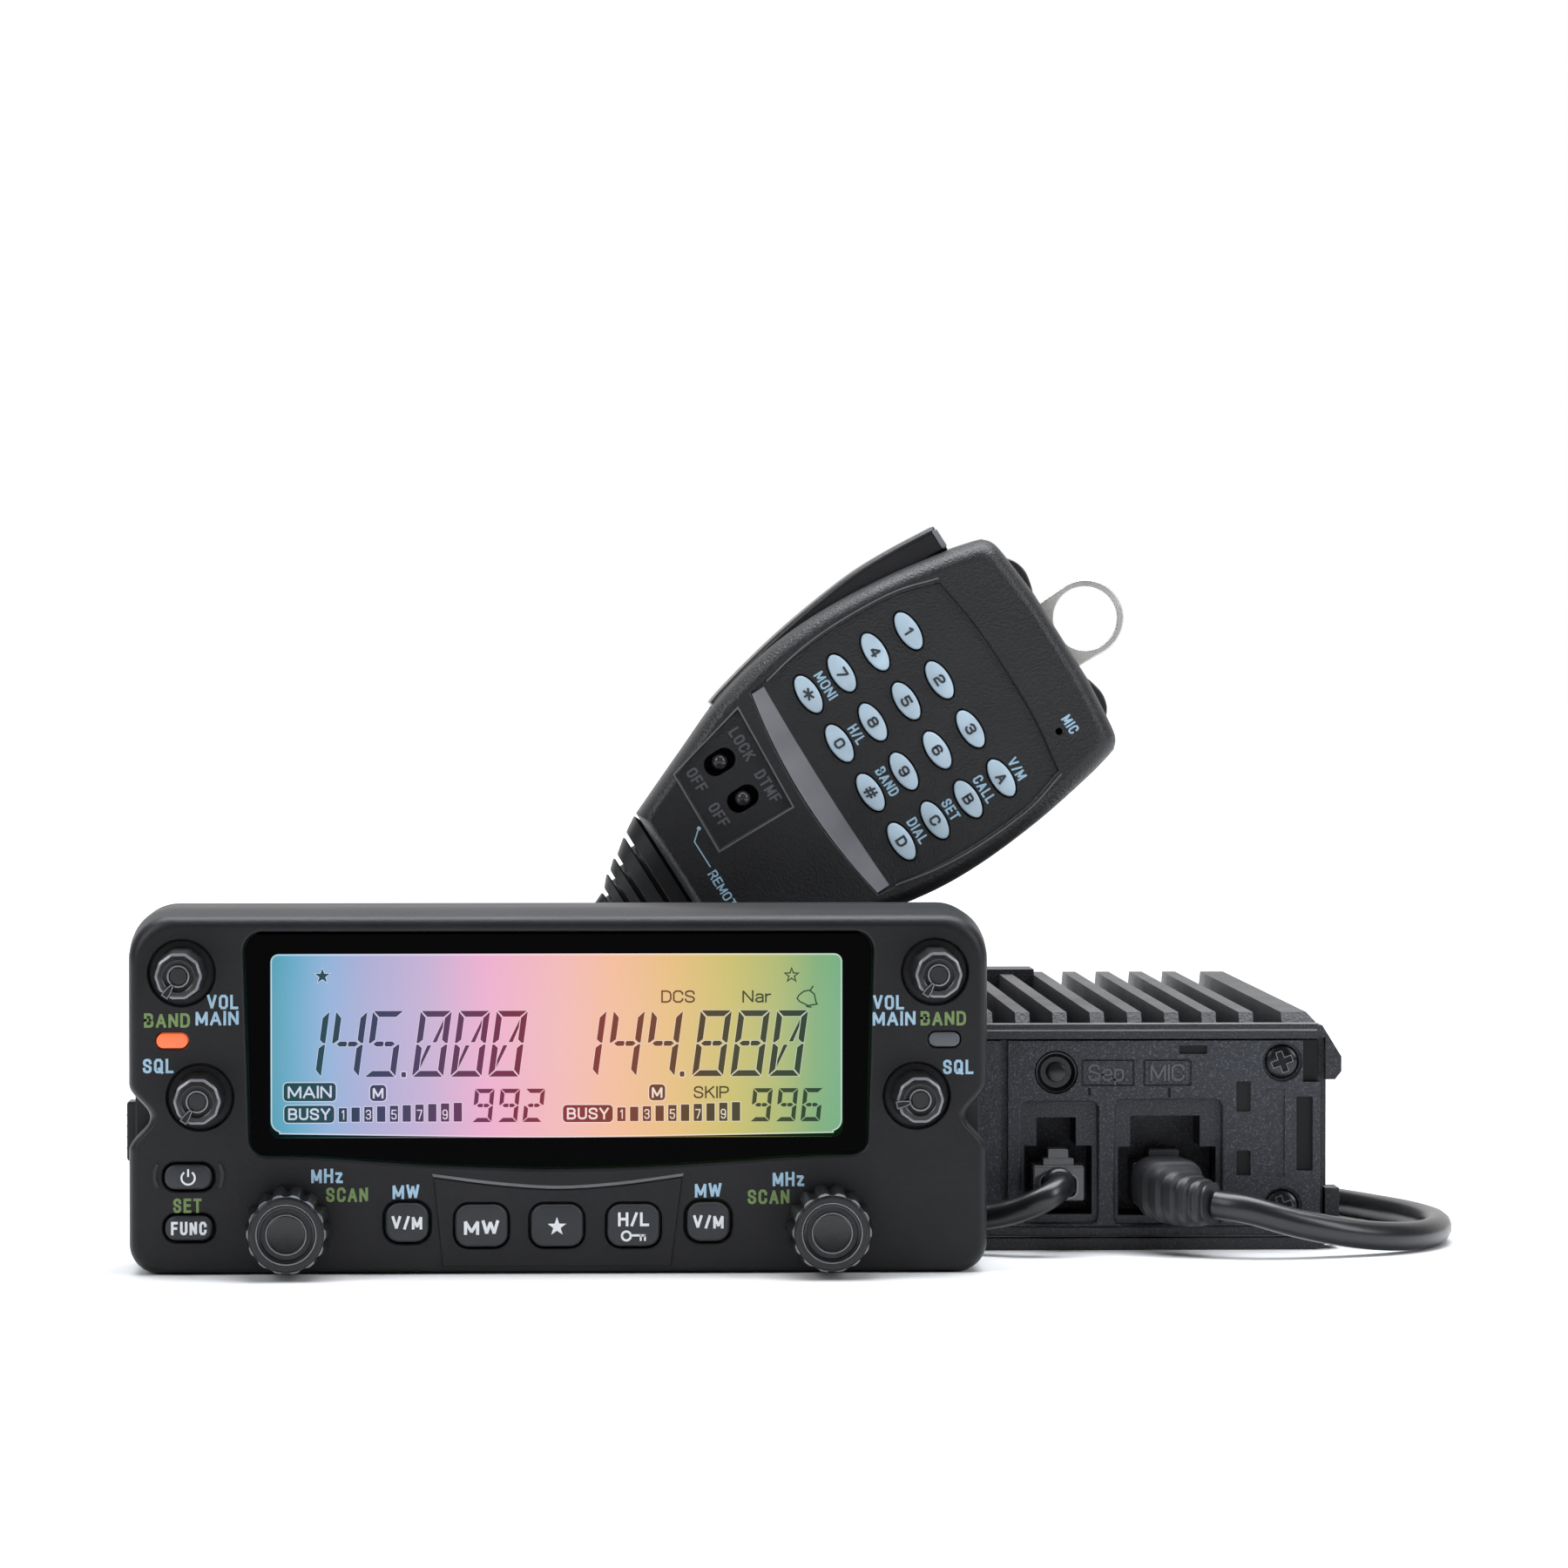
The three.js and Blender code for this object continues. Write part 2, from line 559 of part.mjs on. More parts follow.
// The front panel, with its two jack pockets behind it. Each pocket is a shallow recess that leads to a
// deeper plug mouth and a latch slot.
function frontPanel() {
  const { half, low, top, frontY, thick } = PANEL;
  const back = frontY + thick;
  const panel = [box(-half, half, frontY, back, low, top)];
  const { x: markX, z: markZ, outer, inner } = PANEL_MARK;
  const roundMark = barY(markX, markZ, frontY - 2, frontY + 2, inner, inner, 24);
  const tools = [
    box(66.3, half + 1, frontY - 1, back + 1, 31.4, top + 1),
    box(-half - 1, -66.3, frontY - 1, back + 1, 31.4, top + 1),
    box(9.6, 11, frontY - 1, frontY + 1.2, low - 1, top + 1),
    cut(barY(markX, markZ, frontY - 1, frontY + 1, outer, outer, 24), [roundMark]),
    box(43.1, 48.3, frontY - 1, frontY + 0.8, 36.8, 38.3),
    box(65.2, 68.2, frontY - 1, frontY + 1.2, 14.7, 28.6),
  ];
  for (const z of PANEL_SCREW.heights) {
    tools.push(barY(PANEL_SCREW.x, z, frontY - 1, frontY + 1, PANEL_SCREW.radius, PANEL_SCREW.radius, 20));
  }
  for (const { x0, x1, z0, z1 } of [SEP_RECESS, MIC_RECESS]) {
    panel.push(box(x0 - 1.3, x1 + 1.3, back - 0.5, frontY + 15, z0 - 0.3, z1 + 1.5));
    const mouth = roundedRect((x0 + x1) / 2, (z0 + z1) / 2, x1 - x0, z1 - z0, 1.2);
    tools.push(slab(mouth, frontY - 1, frontY + 2.2, 3));
    tools.push(box(x0 + 0.7, x1 - 1, frontY + 1, frontY + 13.6, z0 + 1.6, z0 + 14.5));
    tools.push(box(x0 + 3, x1 - 4, frontY + 1, frontY + 13.6, z0 + 14, z1 - 3));
  }
  return cut(join(panel), tools);
}

// Pitched blades on a round hub.
function fanRotor() {
  const { z, radius, hub, blades, y0, y1 } = FAN;
  const pieces = [barY(0, z, y0, y1, hub, hub, 28)];
  for (let n = 0; n < blades; n++) {
    const blade = new THREE.BoxGeometry(radius - hub + 1, 1.2, 8.2)
      .translate((radius + hub - 1.4) / 2, 0, 0)
      .rotateX(THREE.MathUtils.degToRad(52))
      .rotateY((n / blades) * Math.PI * 2)
      .translate(0, (y0 + y1) / 2, z);
    pieces.push(solidOf(blade));
  }
  return join(pieces);
}

// A loudspeaker behind the front panel: cone frame and magnet.
function loudspeaker() {
  const y = unitFront + 3.4;
  const frame = barY(-38, 17.6, y, y + 4, 13.6, 11, 28);
  return join([frame, barY(-38, 17.6, y + 3.5, y + 11, 7.5, 7.5, 20)]);
}

// Coaxial socket: a bored barrel out of the rear wall, with a hexagonal collar.
function antennaConnector() {
  const { x, z } = ANTENNA;
  const barrel = barY(x, z, unitRear - 4, unitRear + 12, 5, 5, 20);
  const collar = barY(x, z, unitRear + GAP, unitRear + 2.3, 8, 8, 6);
  return cut(join([barrel, collar]), [barY(x, z, unitRear + 3, unitRear + 13, 3.4, 3.4, 16)]);
}

addPiece(mainUnit, 'heat_sink_chassis', chassis(), castPaint);
addPiece(mainUnit, 'bottom_cover', bottomCover(), castPaint);
addPiece(mainUnit, 'front_panel', frontPanel(), castPaint);
addPiece(mainUnit, 'main_circuit_board', box(-64, 64, unitFront + 17, FAN.y0 - 3, 5, 6.6), boardGreen);
addPiece(mainUnit, 'loudspeaker', loudspeaker(), blackPlastic);
addPiece(mainUnit, 'fan_rotor', fanRotor(), blackPlastic);
addPiece(mainUnit, 'antenna_connector', antennaConnector(), steel);

// ---------------------------------------------------------------- microphone

const mic = new THREE.Group();
mic.position.set(MIC.x, MIC.y, MIC.z);
mic.rotation.y = THREE.MathUtils.degToRad(MIC.lean);

// Half of the handset's outline, from the bottom edge up to the crown.
const micFlank = new THREE.SplineCurve(
  [[14.9, -52], [20.8, -38], [25.6, -26], [28.4, -13], [29.1, -1], [28.1, 13], [26, 26], [24.6, 32]].map(
    ([x, z]) => new THREE.Vector2(x, z),
  ),
);

// The whole outline, drawn in by inset: the crown comes down, the flanks come in and the bottom comes up.
function micOutline(inset) {
  const flank = micFlank.getPoints(14);
  for (const [x, z] of [[22.6, 34.6], [19.6, 35.3], [10, MIC.crown]]) flank.push(new THREE.Vector2(x, z));
  const right = flank.map(({ x, y }) => {
    const drop = y > 0 ? inset * (y / MIC.crown) : 0;
    return new THREE.Vector2(x - inset, y - drop);
  });
  for (const point of right.slice(0, 3)) point.y = Math.max(point.y, MIC.bottom + inset * 0.6);
  right[1].y = Math.max(right[1].y, right[0].y + 0.5);
  right[2].y = Math.max(right[2].y, right[1].y + 0.5);
  const left = right.map(({ x, y }) => new THREE.Vector2(-x, y)).reverse();
  return [...right, ...left];
}

function micShell(stations) {
  const rings = stations.map(([y, inset]) => ({ y, outline: micOutline(inset) }));
  return loft(rings, alongY);
}

// Outline of the sunken keypad panel.
function keypadShape() {
  const shape = new THREE.Shape();
  shape.moveTo(-21.5, 21.4);
  shape.quadraticCurveTo(-24.8, 12, -24.8, 1);
  shape.quadraticCurveTo(-24.6, -11, -23, -19);
  shape.lineTo(23, -19);
  shape.quadraticCurveTo(24.6, -11, 24.8, 1);
  shape.quadraticCurveTo(24.8, 12, 21.5, 21.4);
  shape.quadraticCurveTo(0, 25, -21.5, 21.4);
  return shape;
}

const switchPanel = polygon([[-21.8, -24.6], [-17.6, -41.6], [-0.6, -42.2], [-0.2, -25.8]]);
const keyPlaces = [];
['1_2_3_a', '4_5_6_b', '7_8_9_c', 'star_0_hash_d'].forEach((row, down) => {
  row.split('_').forEach((word, across) => {
    keyPlaces.push({ name: `key_${word}`, x: (across - 1.5) * KEY.pitchX, z: (1.5 - down) * KEY.pitchZ });
  });
});

// What both halves of the case make room for: the talk lever, the top buttons and the hanger plate.
const micRoom = () => [
  box(-40, -21.9, -8.4, 8.4, -28.9, 27.3),
  box(-19.4, -8.6, -4.9, 4.9, 30, 42),
  box(8.6, 19.4, -4.9, 4.9, 30, 42),
  box(-7.5, 7.5, -1.4, 1.4, 31.5, 42),
];

function micFront() {
  const { front: face, wall } = MIC;
  const outer = micShell([[face, 3.2], [face + 0.8, 1.9], [face + 3, 0.6], [face + 6, 0], [0, 0]]);
  const cavity = micShell([[face + wall + 0.6, 3.2], [face + 6, wall], [1, wall]]);
  const tools = [
    cavity,
    slab(keypadShape(), face - 1, KEY_FLOOR),
    slab(switchPanel, face - 1, KEY_FLOOR),
    barY(15.2, 25.7, face - 1, face + 4, 0.7, 0.7, 8),
    ...micRoom(),
  ];
  for (const { x, z } of keyPlaces) {
    tools.push(slab(ellipse(x, z, KEY.width + 0.8, KEY.height + 0.8), face - 1, face + 4, 5));
  }
  for (const x of SLIDER.x) {
    const slot = roundedRect(x, SLIDER.z, SLIDER.slotWidth, SLIDER.slotHeight, 2.1);
    tools.push(slab(slot, face - 1, face + 4, 3));
  }
  return cut(outer, tools);
}

function micRear() {
  const { back, wall } = MIC;
  const outer = micShell([[GAP, 0], [back - 6, 0.3], [back - 2.2, 1.6], [back, 4.2]]);
  const cavity = micShell([[GAP - 1, wall], [back - 5, wall + 0.4], [back - wall, wall + 1.6]]);
  return cut(outer, [cavity, ...micRoom()]);
}

// The talk lever bulges out of the left flank and turns about its lower end.
const talkLever = polygon([
  [-25.9, 26.8], [-31.2, 26.8], [-31.9, 18], [-32.1, 10], [-31.5, 2], [-30.2, -8], [-28.5, -17],
  [-26.6, -25], [-25.6, -28.3], [-23.4, -28.3], [-24.4, -20], [-25.6, -8],
]);

// An up or down button in the crown.
function topButton(hand) {
  const shape = new THREE.Shape();
  shape.moveTo(hand * 19, 32);
  shape.lineTo(hand * 19, 35.2);
  shape.quadraticCurveTo(hand * 14.2, 39, hand * 9, 36.2);
  shape.lineTo(hand * 9, 32);
  return slab(shape, -4.5, 4.5, 8);
}

// A flat steel plate that ends in a ring above the crown.
function hangerRing() {
  const { z, outer, inner, foot, thick } = RING;
  const shape = new THREE.Shape();
  shape.moveTo(7.1, foot);
  shape.absarc(0, z, outer, 0, Math.PI);
  shape.lineTo(-7.1, foot);
  return cut(slab(shape, -thick / 2, thick / 2, 14), [barY(0, z, -thick, thick, inner, inner, 28)]);
}

// The bend relief on the handset: flat ribs, each smaller than the last, on a tapering core. Each rib is
// [start, end, half width at its start, half width at its end].
function bendRelief() {
  const ribs = [
    [52.4, 55.6, 14.6, 13], [56.4, 59.4, 12.2, 10.3], [60.2, 62.2, 9.8, 8.5], [63, 65, 7.9, 6.3],
    [65.8, 70, 5.3, 3.7],
  ];
  const rings = [];
  for (const [start, end, wide, narrow] of ribs) {
    if (rings.length) rings.push([start - 0.8, wide * 0.7], [start, wide * 0.7]);
    rings.push([start, wide], [end, narrow]);
    if (end < 70) rings.push([end, wide * 0.66]);
  }
  const outline = (half) => {
    const points = [];
    const thick = 3.4 + (half - 3.7) * 0.55;
    for (let i = 0; i < 12; i++) {
      const angle = (i / 12) * Math.PI * 2;
      const flat = (value) => Math.sign(value) * Math.abs(value) ** 0.7;
      points.push(new THREE.Vector2(half * flat(Math.cos(angle)), thick * flat(Math.sin(angle))));
    }
    return points;
  };
  const place = (point, ring) => [point.x, point.y, -ring.down];
  // Each ring sits a hair further down than the one before, so that a flat step has no zero height.
  return loft(rings.map(([down, half], n) => ({ down: down + n * 1e-3, outline: outline(half) })), place);
}

addPiece(mic, 'mic_front_case', micFront(), blackCase);
addPiece(mic, 'mic_rear_case', micRear(), blackCase);
addPiece(mic, 'ptt_lever', slab(talkLever, -8, 8), blackPlastic);
addPiece(mic, 'mic_up_button', topButton(1), blackPlastic);
addPiece(mic, 'mic_down_button', topButton(-1), blackPlastic);
addPiece(mic, 'hanger_ring', hangerRing(), steel);
addPiece(mic, 'mic_strain_relief', bendRelief(), blackPlastic);
['lock_switch', 'dtmf_switch'].forEach((name, n) => {
  const { x, z, radius } = SLIDER;
  addPiece(mic, name, barY(x[n], z, KEY_FLOOR - 0.6, MIC.front + 4.5, radius, radius, 12), steel);
});
for (const { name, x, z } of keyPlaces) {
  addPiece(mic, name, softSlab(ellipse(x, z, KEY.width, KEY.height), KEY.front, KEY.back, 0.3), keyPale);
}

// ---------------------------------------------------------------- plugs and cords

const cords = new THREE.Group();

// A modular plug with a ribbed boot that bends to the right.
function micPlug() {
  const { x0, z0 } = MIC_RECESS;
  const x = x0 + 9.3;
  const z = z0 + 7.6;
  const body = box(x - 5.85, x + 5.85, unitFront + 1, unitFront + 13, z - 4, z + 4);
  const latch = box(x - 3, x + 3, unitFront + 1.5, unitFront + 10, z + 3.5, z + 6.4);
  // The boot's rings stand square to an axis that turns to the right; turn is in degrees.
  const sleeve = (dx, dy, dz, turn, halfWidth, halfHeight) => ({
    at: [x + dx, unitFront + dy, z + dz],
    turn: THREE.MathUtils.degToRad(turn),
    outline: roundedRect(0, 0, 2 * halfWidth, 2 * halfHeight, halfHeight * 0.6).getPoints(3),
  });
  const boot = loft(
    [
      sleeve(7.5, -14.7, -2.6, 62, 3.6, 3.6),
      sleeve(4.2, -12.2, -2.2, 48, 4.4, 4.4),
      sleeve(1.6, -8, -1.2, 26, 5.6, 5),
      sleeve(0, -2, -0.2, 0, 6.3, 5.2),
      sleeve(0, 2, 0, 0, 6.3, 5.2),
    ],
    (point, { at, turn }) => [
      at[0] + point.x * Math.cos(turn),
      at[1] + point.x * Math.sin(turn),
      at[2] + point.y,
    ],
  );
  return join([body, latch, boot]);
}

// The separation cord's modular plug, with a short collar round its cord.
function sepPlug() {
  const { x0, z0 } = SEP_RECESS;
  const x = x0 + 6.8;
  const z = z0 + 7.8;
  const body = box(x - 4.85, x + 4.85, unitFront - 3.5, unitFront + 12.5, z - 3.4, z + 3.4);
  const latch = box(x - 2, x + 2, unitFront - 2, unitFront + 9, z + 3, z + 6.4);
  return join([body, latch, barY(x, z, unitFront - 6.2, unitFront - 3, 3, 3, 12)]);
}

addPiece(cords, 'mic_plug', micPlug(), blackPlastic);
addPiece(cords, 'sep_plug', sepPlug(), clearPlug);
addPiece(cords, 'mic_cord_run', cord(MIC_RUN, MIC_CORD, 42, 10), cordBlack);
addPiece(cords, 'mic_cord_curl', cord(MIC_CURL, CURL, 14, 12), cordBlack);
addPiece(cords, 'mic_cord_tail', cord(MIC_TAIL, MIC_CORD, 12, 10), cordBlack);
addPiece(cords, 'sep_cord', cord(SEP_RUN, SEP_CORD, 26, 10), cordBlack);

const transceiver = new THREE.Group();
transceiver.add(head, mainUnit, mic, cords);

export default transceiver;
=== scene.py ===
import json
import math

import bmesh
import bpy
from mathutils import Matrix, Vector


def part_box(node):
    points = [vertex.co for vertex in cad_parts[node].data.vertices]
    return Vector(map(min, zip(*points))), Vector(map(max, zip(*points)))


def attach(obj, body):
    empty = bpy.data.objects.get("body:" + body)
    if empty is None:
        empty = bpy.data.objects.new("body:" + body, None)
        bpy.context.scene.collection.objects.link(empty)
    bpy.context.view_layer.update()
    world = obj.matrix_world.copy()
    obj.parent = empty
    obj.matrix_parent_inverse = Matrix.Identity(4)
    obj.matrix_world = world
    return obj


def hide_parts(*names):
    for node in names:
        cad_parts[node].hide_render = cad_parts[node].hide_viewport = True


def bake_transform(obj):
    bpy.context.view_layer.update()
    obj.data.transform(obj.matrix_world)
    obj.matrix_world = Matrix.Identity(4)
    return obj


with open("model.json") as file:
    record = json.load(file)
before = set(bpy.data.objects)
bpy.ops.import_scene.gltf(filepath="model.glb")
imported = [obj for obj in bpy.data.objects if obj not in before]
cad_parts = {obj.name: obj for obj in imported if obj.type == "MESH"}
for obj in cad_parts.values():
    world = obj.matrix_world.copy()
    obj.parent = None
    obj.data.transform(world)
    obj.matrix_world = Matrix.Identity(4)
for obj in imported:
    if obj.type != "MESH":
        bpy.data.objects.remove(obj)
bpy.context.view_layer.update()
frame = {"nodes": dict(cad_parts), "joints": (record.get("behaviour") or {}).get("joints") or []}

# Everything below is drawn in millimetres: in the row frame, in the control head's own frame or in the
# microphone's own frame. Each frame's matrix turns that into metres in the row frame.

MM = 0.001


# ---------------------------------------------------------------- places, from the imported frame


def middle(node):
    low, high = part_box(node)
    return (low + high) / 2


UNIT = Matrix.Scale(MM, 4)

case_low, case_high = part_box("head_front_case")
HEAD = Matrix.Translation(((case_low.x + case_high.x) / 2, case_low.y, 0)) @ UNIT

JOINTS = {joint["name"]: joint for joint in frame["joints"]}
KEY_ROWS = ["1 2 3 a", "4 5 6 b", "7 8 9 c", "star 0 hash d"]
KEY_NODES = [f"key_{word}" for row in KEY_ROWS for word in row.split()]


def microphone_frame():
    """The microphone's frame: its up direction is against the press of its top buttons, and its centre is
    the middle of the keys."""
    up = -Vector(JOINTS["mic_up_button_press"]["axis"]).normalized()
    right = Vector((up.z, 0, -up.x))
    centre = sum((middle(node) for node in KEY_NODES), Vector()) / len(KEY_NODES)
    turn = Matrix((right, (0, 1, 0), up)).transposed().to_4x4()
    return Matrix.Translation((centre.x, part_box("mic_front_case")[1].y, centre.z)) @ turn @ UNIT


MIC = microphone_frame()

UNIT_FRONT = -82.5
PANEL_FACE = -82

# Diameters of the two cords and of the curly section outside, and the way from turn to turn.
MIC_CORD = 5.4
SEP_CORD = 4.9
CURL = 14
CURL_PITCH = 5.75

# Cord routes, the same points as in the CAD source.
MIC_RUN = [
    (48.5, -97.6, 9.75), (54, -100.2, 9), (63.3, -100, 6.4), (74.6, -96.4, 4.1), (83.6, -90.5, 3.1),
    (90.6, -80, 2.9), (94.2, -63, 2.9), (92.5, -43, 2.9), (86, -22, 2.9), (79.2, -3, 2.9),
    (76.7, 17, 2.9), (76.5, 45, 2.9), (76.7, 68, 2.9), (76, 84, 2.9), (69.5, 94.5, 2.9), (56, 99.5, 2.9),
    (26, 99.5, 2.9), (4, 99.5, 2.9), (-17, 98.5, 3.3), (-31, 94, 9), (-37, 90.5, 22), (-39, 90, 36),
    (-39, 86.5, 47), (-37.6, 78.5, 51.4), (-36.2, 72.7, 51.4),
]
MIC_CURL = [
    (-36, 72, 51.4), (-31, 52, 51.4), (-24, 30, 51.4), (-16, 8, 51.4), (-12.5, -14, 51.4),
    (-13, -34, 51.4), (-20, -49, 51.4), (-33, -58, 51.4), (-46, -60, 51.4), (-58, -60, 51.4),
]
MIC_TAIL = [
    (-58.5, -60, 51.4), (-66, -60, 51), (-76, -57.5, 50), (-84.5, -50.5, 49.6), (-88.5, -40, 49.6),
    (-86, -29.5, 50.2), (-79.5, -23, 51.6), (-72.5, -21.2, 54), (-65.4, -21, 58),
]
SEP_RUN = [
    (20.2, -89.3, 12.8), (20, -92.2, 12.6), (17, -95.6, 10.8), (11.5, -94.3, 8.4), (5, -91, 6.9),
    (-6, -89.5, 6), (-30, -89.5, 4.6), (-55, -89.5, 3.4), (-75, -88.5, 2.7), (-88, -83, 2.6),
    (-96, -72, 2.6), (-103, -61, 2.6), (-113, -57, 3), (-120, -63.5, 6.5), (-118.5, -73, 13),
    (-113, -82, 19.4), (-110.3, -89, 21.8), (-110, -94.5, 22),
]


# ---------------------------------------------------------------- materials


def remap(nodes, links, source, kind="LINEAR", **limits):
    """A Map Range node that reads a socket, with its limits given by name."""
    node = nodes.new("ShaderNodeMapRange")
    node.interpolation_type = kind
    for socket, value in limits.items():
        node.inputs[socket.replace("_", " ")].default_value = value
    links.new(source, node.inputs["Value"])
    return node.outputs["Result"]


class Look:
    """A node material: one Principled shader with the nodes that give its surface detail."""

    def __init__(self, name, colour, roughness, **sockets):
        self.material = bpy.data.materials.new(name)
        self.material.use_nodes = True
        self.nodes = self.material.node_tree.nodes
        self.links = self.material.node_tree.links
        self.shader = self.nodes["Principled BSDF"]
        self.shader.inputs["Base Color"].default_value = (*colour, 1)
        self.shader.inputs["Roughness"].default_value = roughness
        for socket, value in sockets.items():
            self.shader.inputs[socket.replace("_", " ")].default_value = value
        self.place = self.nodes.new("ShaderNodeTexCoord").outputs["Object"]

    def noise(self, scale, detail=2.0, stretch=None):
        texture = self.nodes.new("ShaderNodeTexNoise")
        texture.inputs["Scale"].default_value = scale
        texture.inputs["Detail"].default_value = detail
        place = self.place
        if stretch:
            mapping = self.nodes.new("ShaderNodeMapping")
            mapping.inputs["Scale"].default_value = stretch
            self.links.new(place, mapping.inputs["Vector"])
            place = mapping.outputs["Vector"]
        self.links.new(place, texture.inputs["Vector"])
        return texture.outputs["Fac"]

    def cells(self, scale):
        texture = self.nodes.new("ShaderNodeTexVoronoi")
        texture.inputs["Scale"].default_value = scale
        self.links.new(self.place, texture.inputs["Vector"])
        return texture.outputs["Distance"]

    def ramp(self, factor, stops):
        ramp = self.nodes.new("ShaderNodeValToRGB")
        elements = ramp.color_ramp.elements
        while len(elements) < len(stops):
            elements.new(0.5)
        for element, (position, colour) in zip(elements, stops):
            element.position = position
            element.color = (*colour, 1)
        self.links.new(factor, ramp.inputs["Fac"])
        return ramp.outputs["Color"]

    def bump(self, height, depth):
        """Adds relief of the given depth in millimetres."""
        bump = self.nodes.new("ShaderNodeBump")
        bump.inputs["Distance"].default_value = depth * MM
        self.links.new(height, bump.inputs["Height"])
        normal = self.shader.inputs["Normal"]
        if normal.is_linked:
            self.links.new(normal.links[0].from_socket, bump.inputs["Normal"])
        self.links.new(bump.outputs["Normal"], normal)

    def vary_colour(self, factor, stops):
        self.links.new(self.ramp(factor, stops), self.shader.inputs["Base Color"])

    def vary_roughness(self, factor, low, high):
        spread = remap(self.nodes, self.links, factor, To_Min=low, To_Max=high)
        self.links.new(spread, self.shader.inputs["Roughness"])


def shade(colour, factor):
    return tuple(channel * factor for channel in colour)


def moulded(name, colour, roughness, grain, depth, **sockets):
    """Moulded plastic or rubber: a fine grain in the surface and faint handling marks in its gloss."""
    look = Look(name, colour, roughness, **sockets)
    look.vary_colour(look.noise(90, 3), [(0.3, shade(colour, 0.82)), (0.7, shade(colour, 1.18))])
    look.vary_roughness(look.noise(45, 4), roughness - 0.07, roughness + 0.08)
    look.bump(look.noise(grain, 3), depth)
    return look.material


def sparkling(name, colour, roughness, grain, depth):
    """Coarse textured finish with light specks, which are painted glints; its darker specks are random tone.
    """
    look = Look(name, colour, roughness)
    specks = look.noise(grain, 1)
    look.vary_colour(specks, [(0.35, shade(colour, 0.65)), (0.58, colour), (0.7, shade(colour, 3.4))])
    look.vary_roughness(look.noise(50, 3), roughness - 0.1, roughness + 0.08)
    look.bump(look.cells(grain * 0.6), depth)
    look.bump(look.noise(grain * 1.3, 3), depth * 0.7)
    return look.material


def leather(name, colour, roughness):
    """Coarse moulded leather grain: soft cells about half a millimetre wide."""
    look = Look(name, colour, roughness, Specular_IOR_Level=0.46)
    look.vary_colour(look.noise(90, 3), [(0.3, shade(colour, 0.85)), (0.7, shade(colour, 1.2))])
    look.vary_roughness(look.noise(60, 4), roughness - 0.08, roughness + 0.08)
    look.bump(look.cells(2200), 0.07)
    look.bump(look.noise(1700, 3), 0.1)
    return look.material


def metal(name, colour, roughness, stretch):
    """Plated metal with fine brushing along one axis and a little tarnish."""
    look = Look(name, colour, roughness, Metallic=1.0)
    look.vary_colour(look.noise(120, 4), [(0.25, shade(colour, 0.72)), (0.75, colour)])
    look.vary_roughness(look.noise(150, 3, stretch), roughness - 0.06, roughness + 0.12)
    look.bump(look.noise(500, 2, stretch), 0.01)
    return look.material


def ink(name, colour):
    """Printed marking: slightly uneven ink."""
    look = Look(name, colour, 0.5)
    look.vary_colour(look.noise(900, 2), [(0.3, shade(colour, 0.88)), (0.7, colour)])
    look.bump(look.noise(1500, 1), 0.01)
    return look.material


def tint(*levels):
    """A colour given in screen levels from 0 to 255."""
    return tuple(((level / 255 + 0.055) / 1.055) ** 2.4 for level in levels)


# The display's colours run from teal at the left through pink and orange to green at the right. Each
# stop is a place across the glass and its colour.
SCREEN_LEFT = -52.2
SCREEN_RIGHT = 51.4
SCREEN_COLOURS = [
    (0.0, tint(75, 155, 175)), (0.04, tint(98, 167, 196)), (0.1, tint(143, 176, 215)),
    (0.17, tint(171, 172, 211)), (0.27, tint(195, 175, 210)), (0.38, tint(236, 174, 205)),
    (0.5, tint(240, 184, 184)), (0.6, tint(242, 188, 155)), (0.7, tint(230, 190, 128)),
    (0.8, tint(203, 190, 110)), (0.89, tint(172, 183, 114)), (0.95, tint(130, 173, 120)),
    (1.0, tint(112, 172, 130)),
]
SEGMENT_COLOURS = [
    (0.0, tint(8, 78, 84)), (0.07, tint(16, 88, 100)), (0.13, tint(45, 76, 102)), (0.2, tint(72, 74, 120)),
    (0.28, tint(100, 70, 116)), (0.36, tint(134, 56, 104)), (0.42, tint(150, 48, 82)),
    (0.53, tint(172, 60, 62)), (0.6, tint(158, 72, 48)), (0.68, tint(138, 82, 46)), (0.75, tint(102, 82, 42)),
    (0.84, tint(82, 86, 50)), (0.9, tint(58, 82, 48)), (1.0, tint(14, 74, 58)),
]
GLASS_LOW = 24
GLASS_HIGH = 58


def screen_place(look, axis, start, end):
    """How far a point lies from start to end along X or Z, from 0 to 1."""
    split = look.nodes.new("ShaderNodeSeparateXYZ")
    look.links.new(look.place, split.inputs[0])
    return remap(look.nodes, look.links, split.outputs[axis], From_Min=start, From_Max=end)


def screen_look(name, stops, pale_low, pale_high, roughness):
    """Light from the display: colours across it, made paler by pale_low at the glass's lower and upper edge
    and by pale_high between them."""
    look = Look(name, (0.01, 0.01, 0.012), roughness, Specular_IOR_Level=0.12)
    left, right = ((HEAD @ Vector((x, 0, 0))).x for x in (SCREEN_LEFT, SCREEN_RIGHT))
    colour = look.ramp(screen_place(look, "X", left, right), stops)
    height = screen_place(look, "Z", GLASS_LOW * MM, GLASS_HIGH * MM)
    paleness = look.ramp(height, [
        (0.0, (pale_low,) * 3), (0.4, (pale_high,) * 3), (0.7, (pale_high,) * 3), (1.0, (pale_low,) * 3),
    ])
    mix = look.nodes.new("ShaderNodeMix")
    mix.data_type = "RGBA"
    look.links.new(paleness, mix.inputs["Factor"])
    look.links.new(colour, mix.inputs["A"])
    mix.inputs["B"].default_value = (0.92, 0.86, 0.9, 1)
    look.links.new(mix.outputs["Result"], look.shader.inputs["Emission Color"])
    look.shader.inputs["Emission Strength"].default_value = 1.0
    look.bump(look.noise(1800, 1), 0.004)
    return look.material


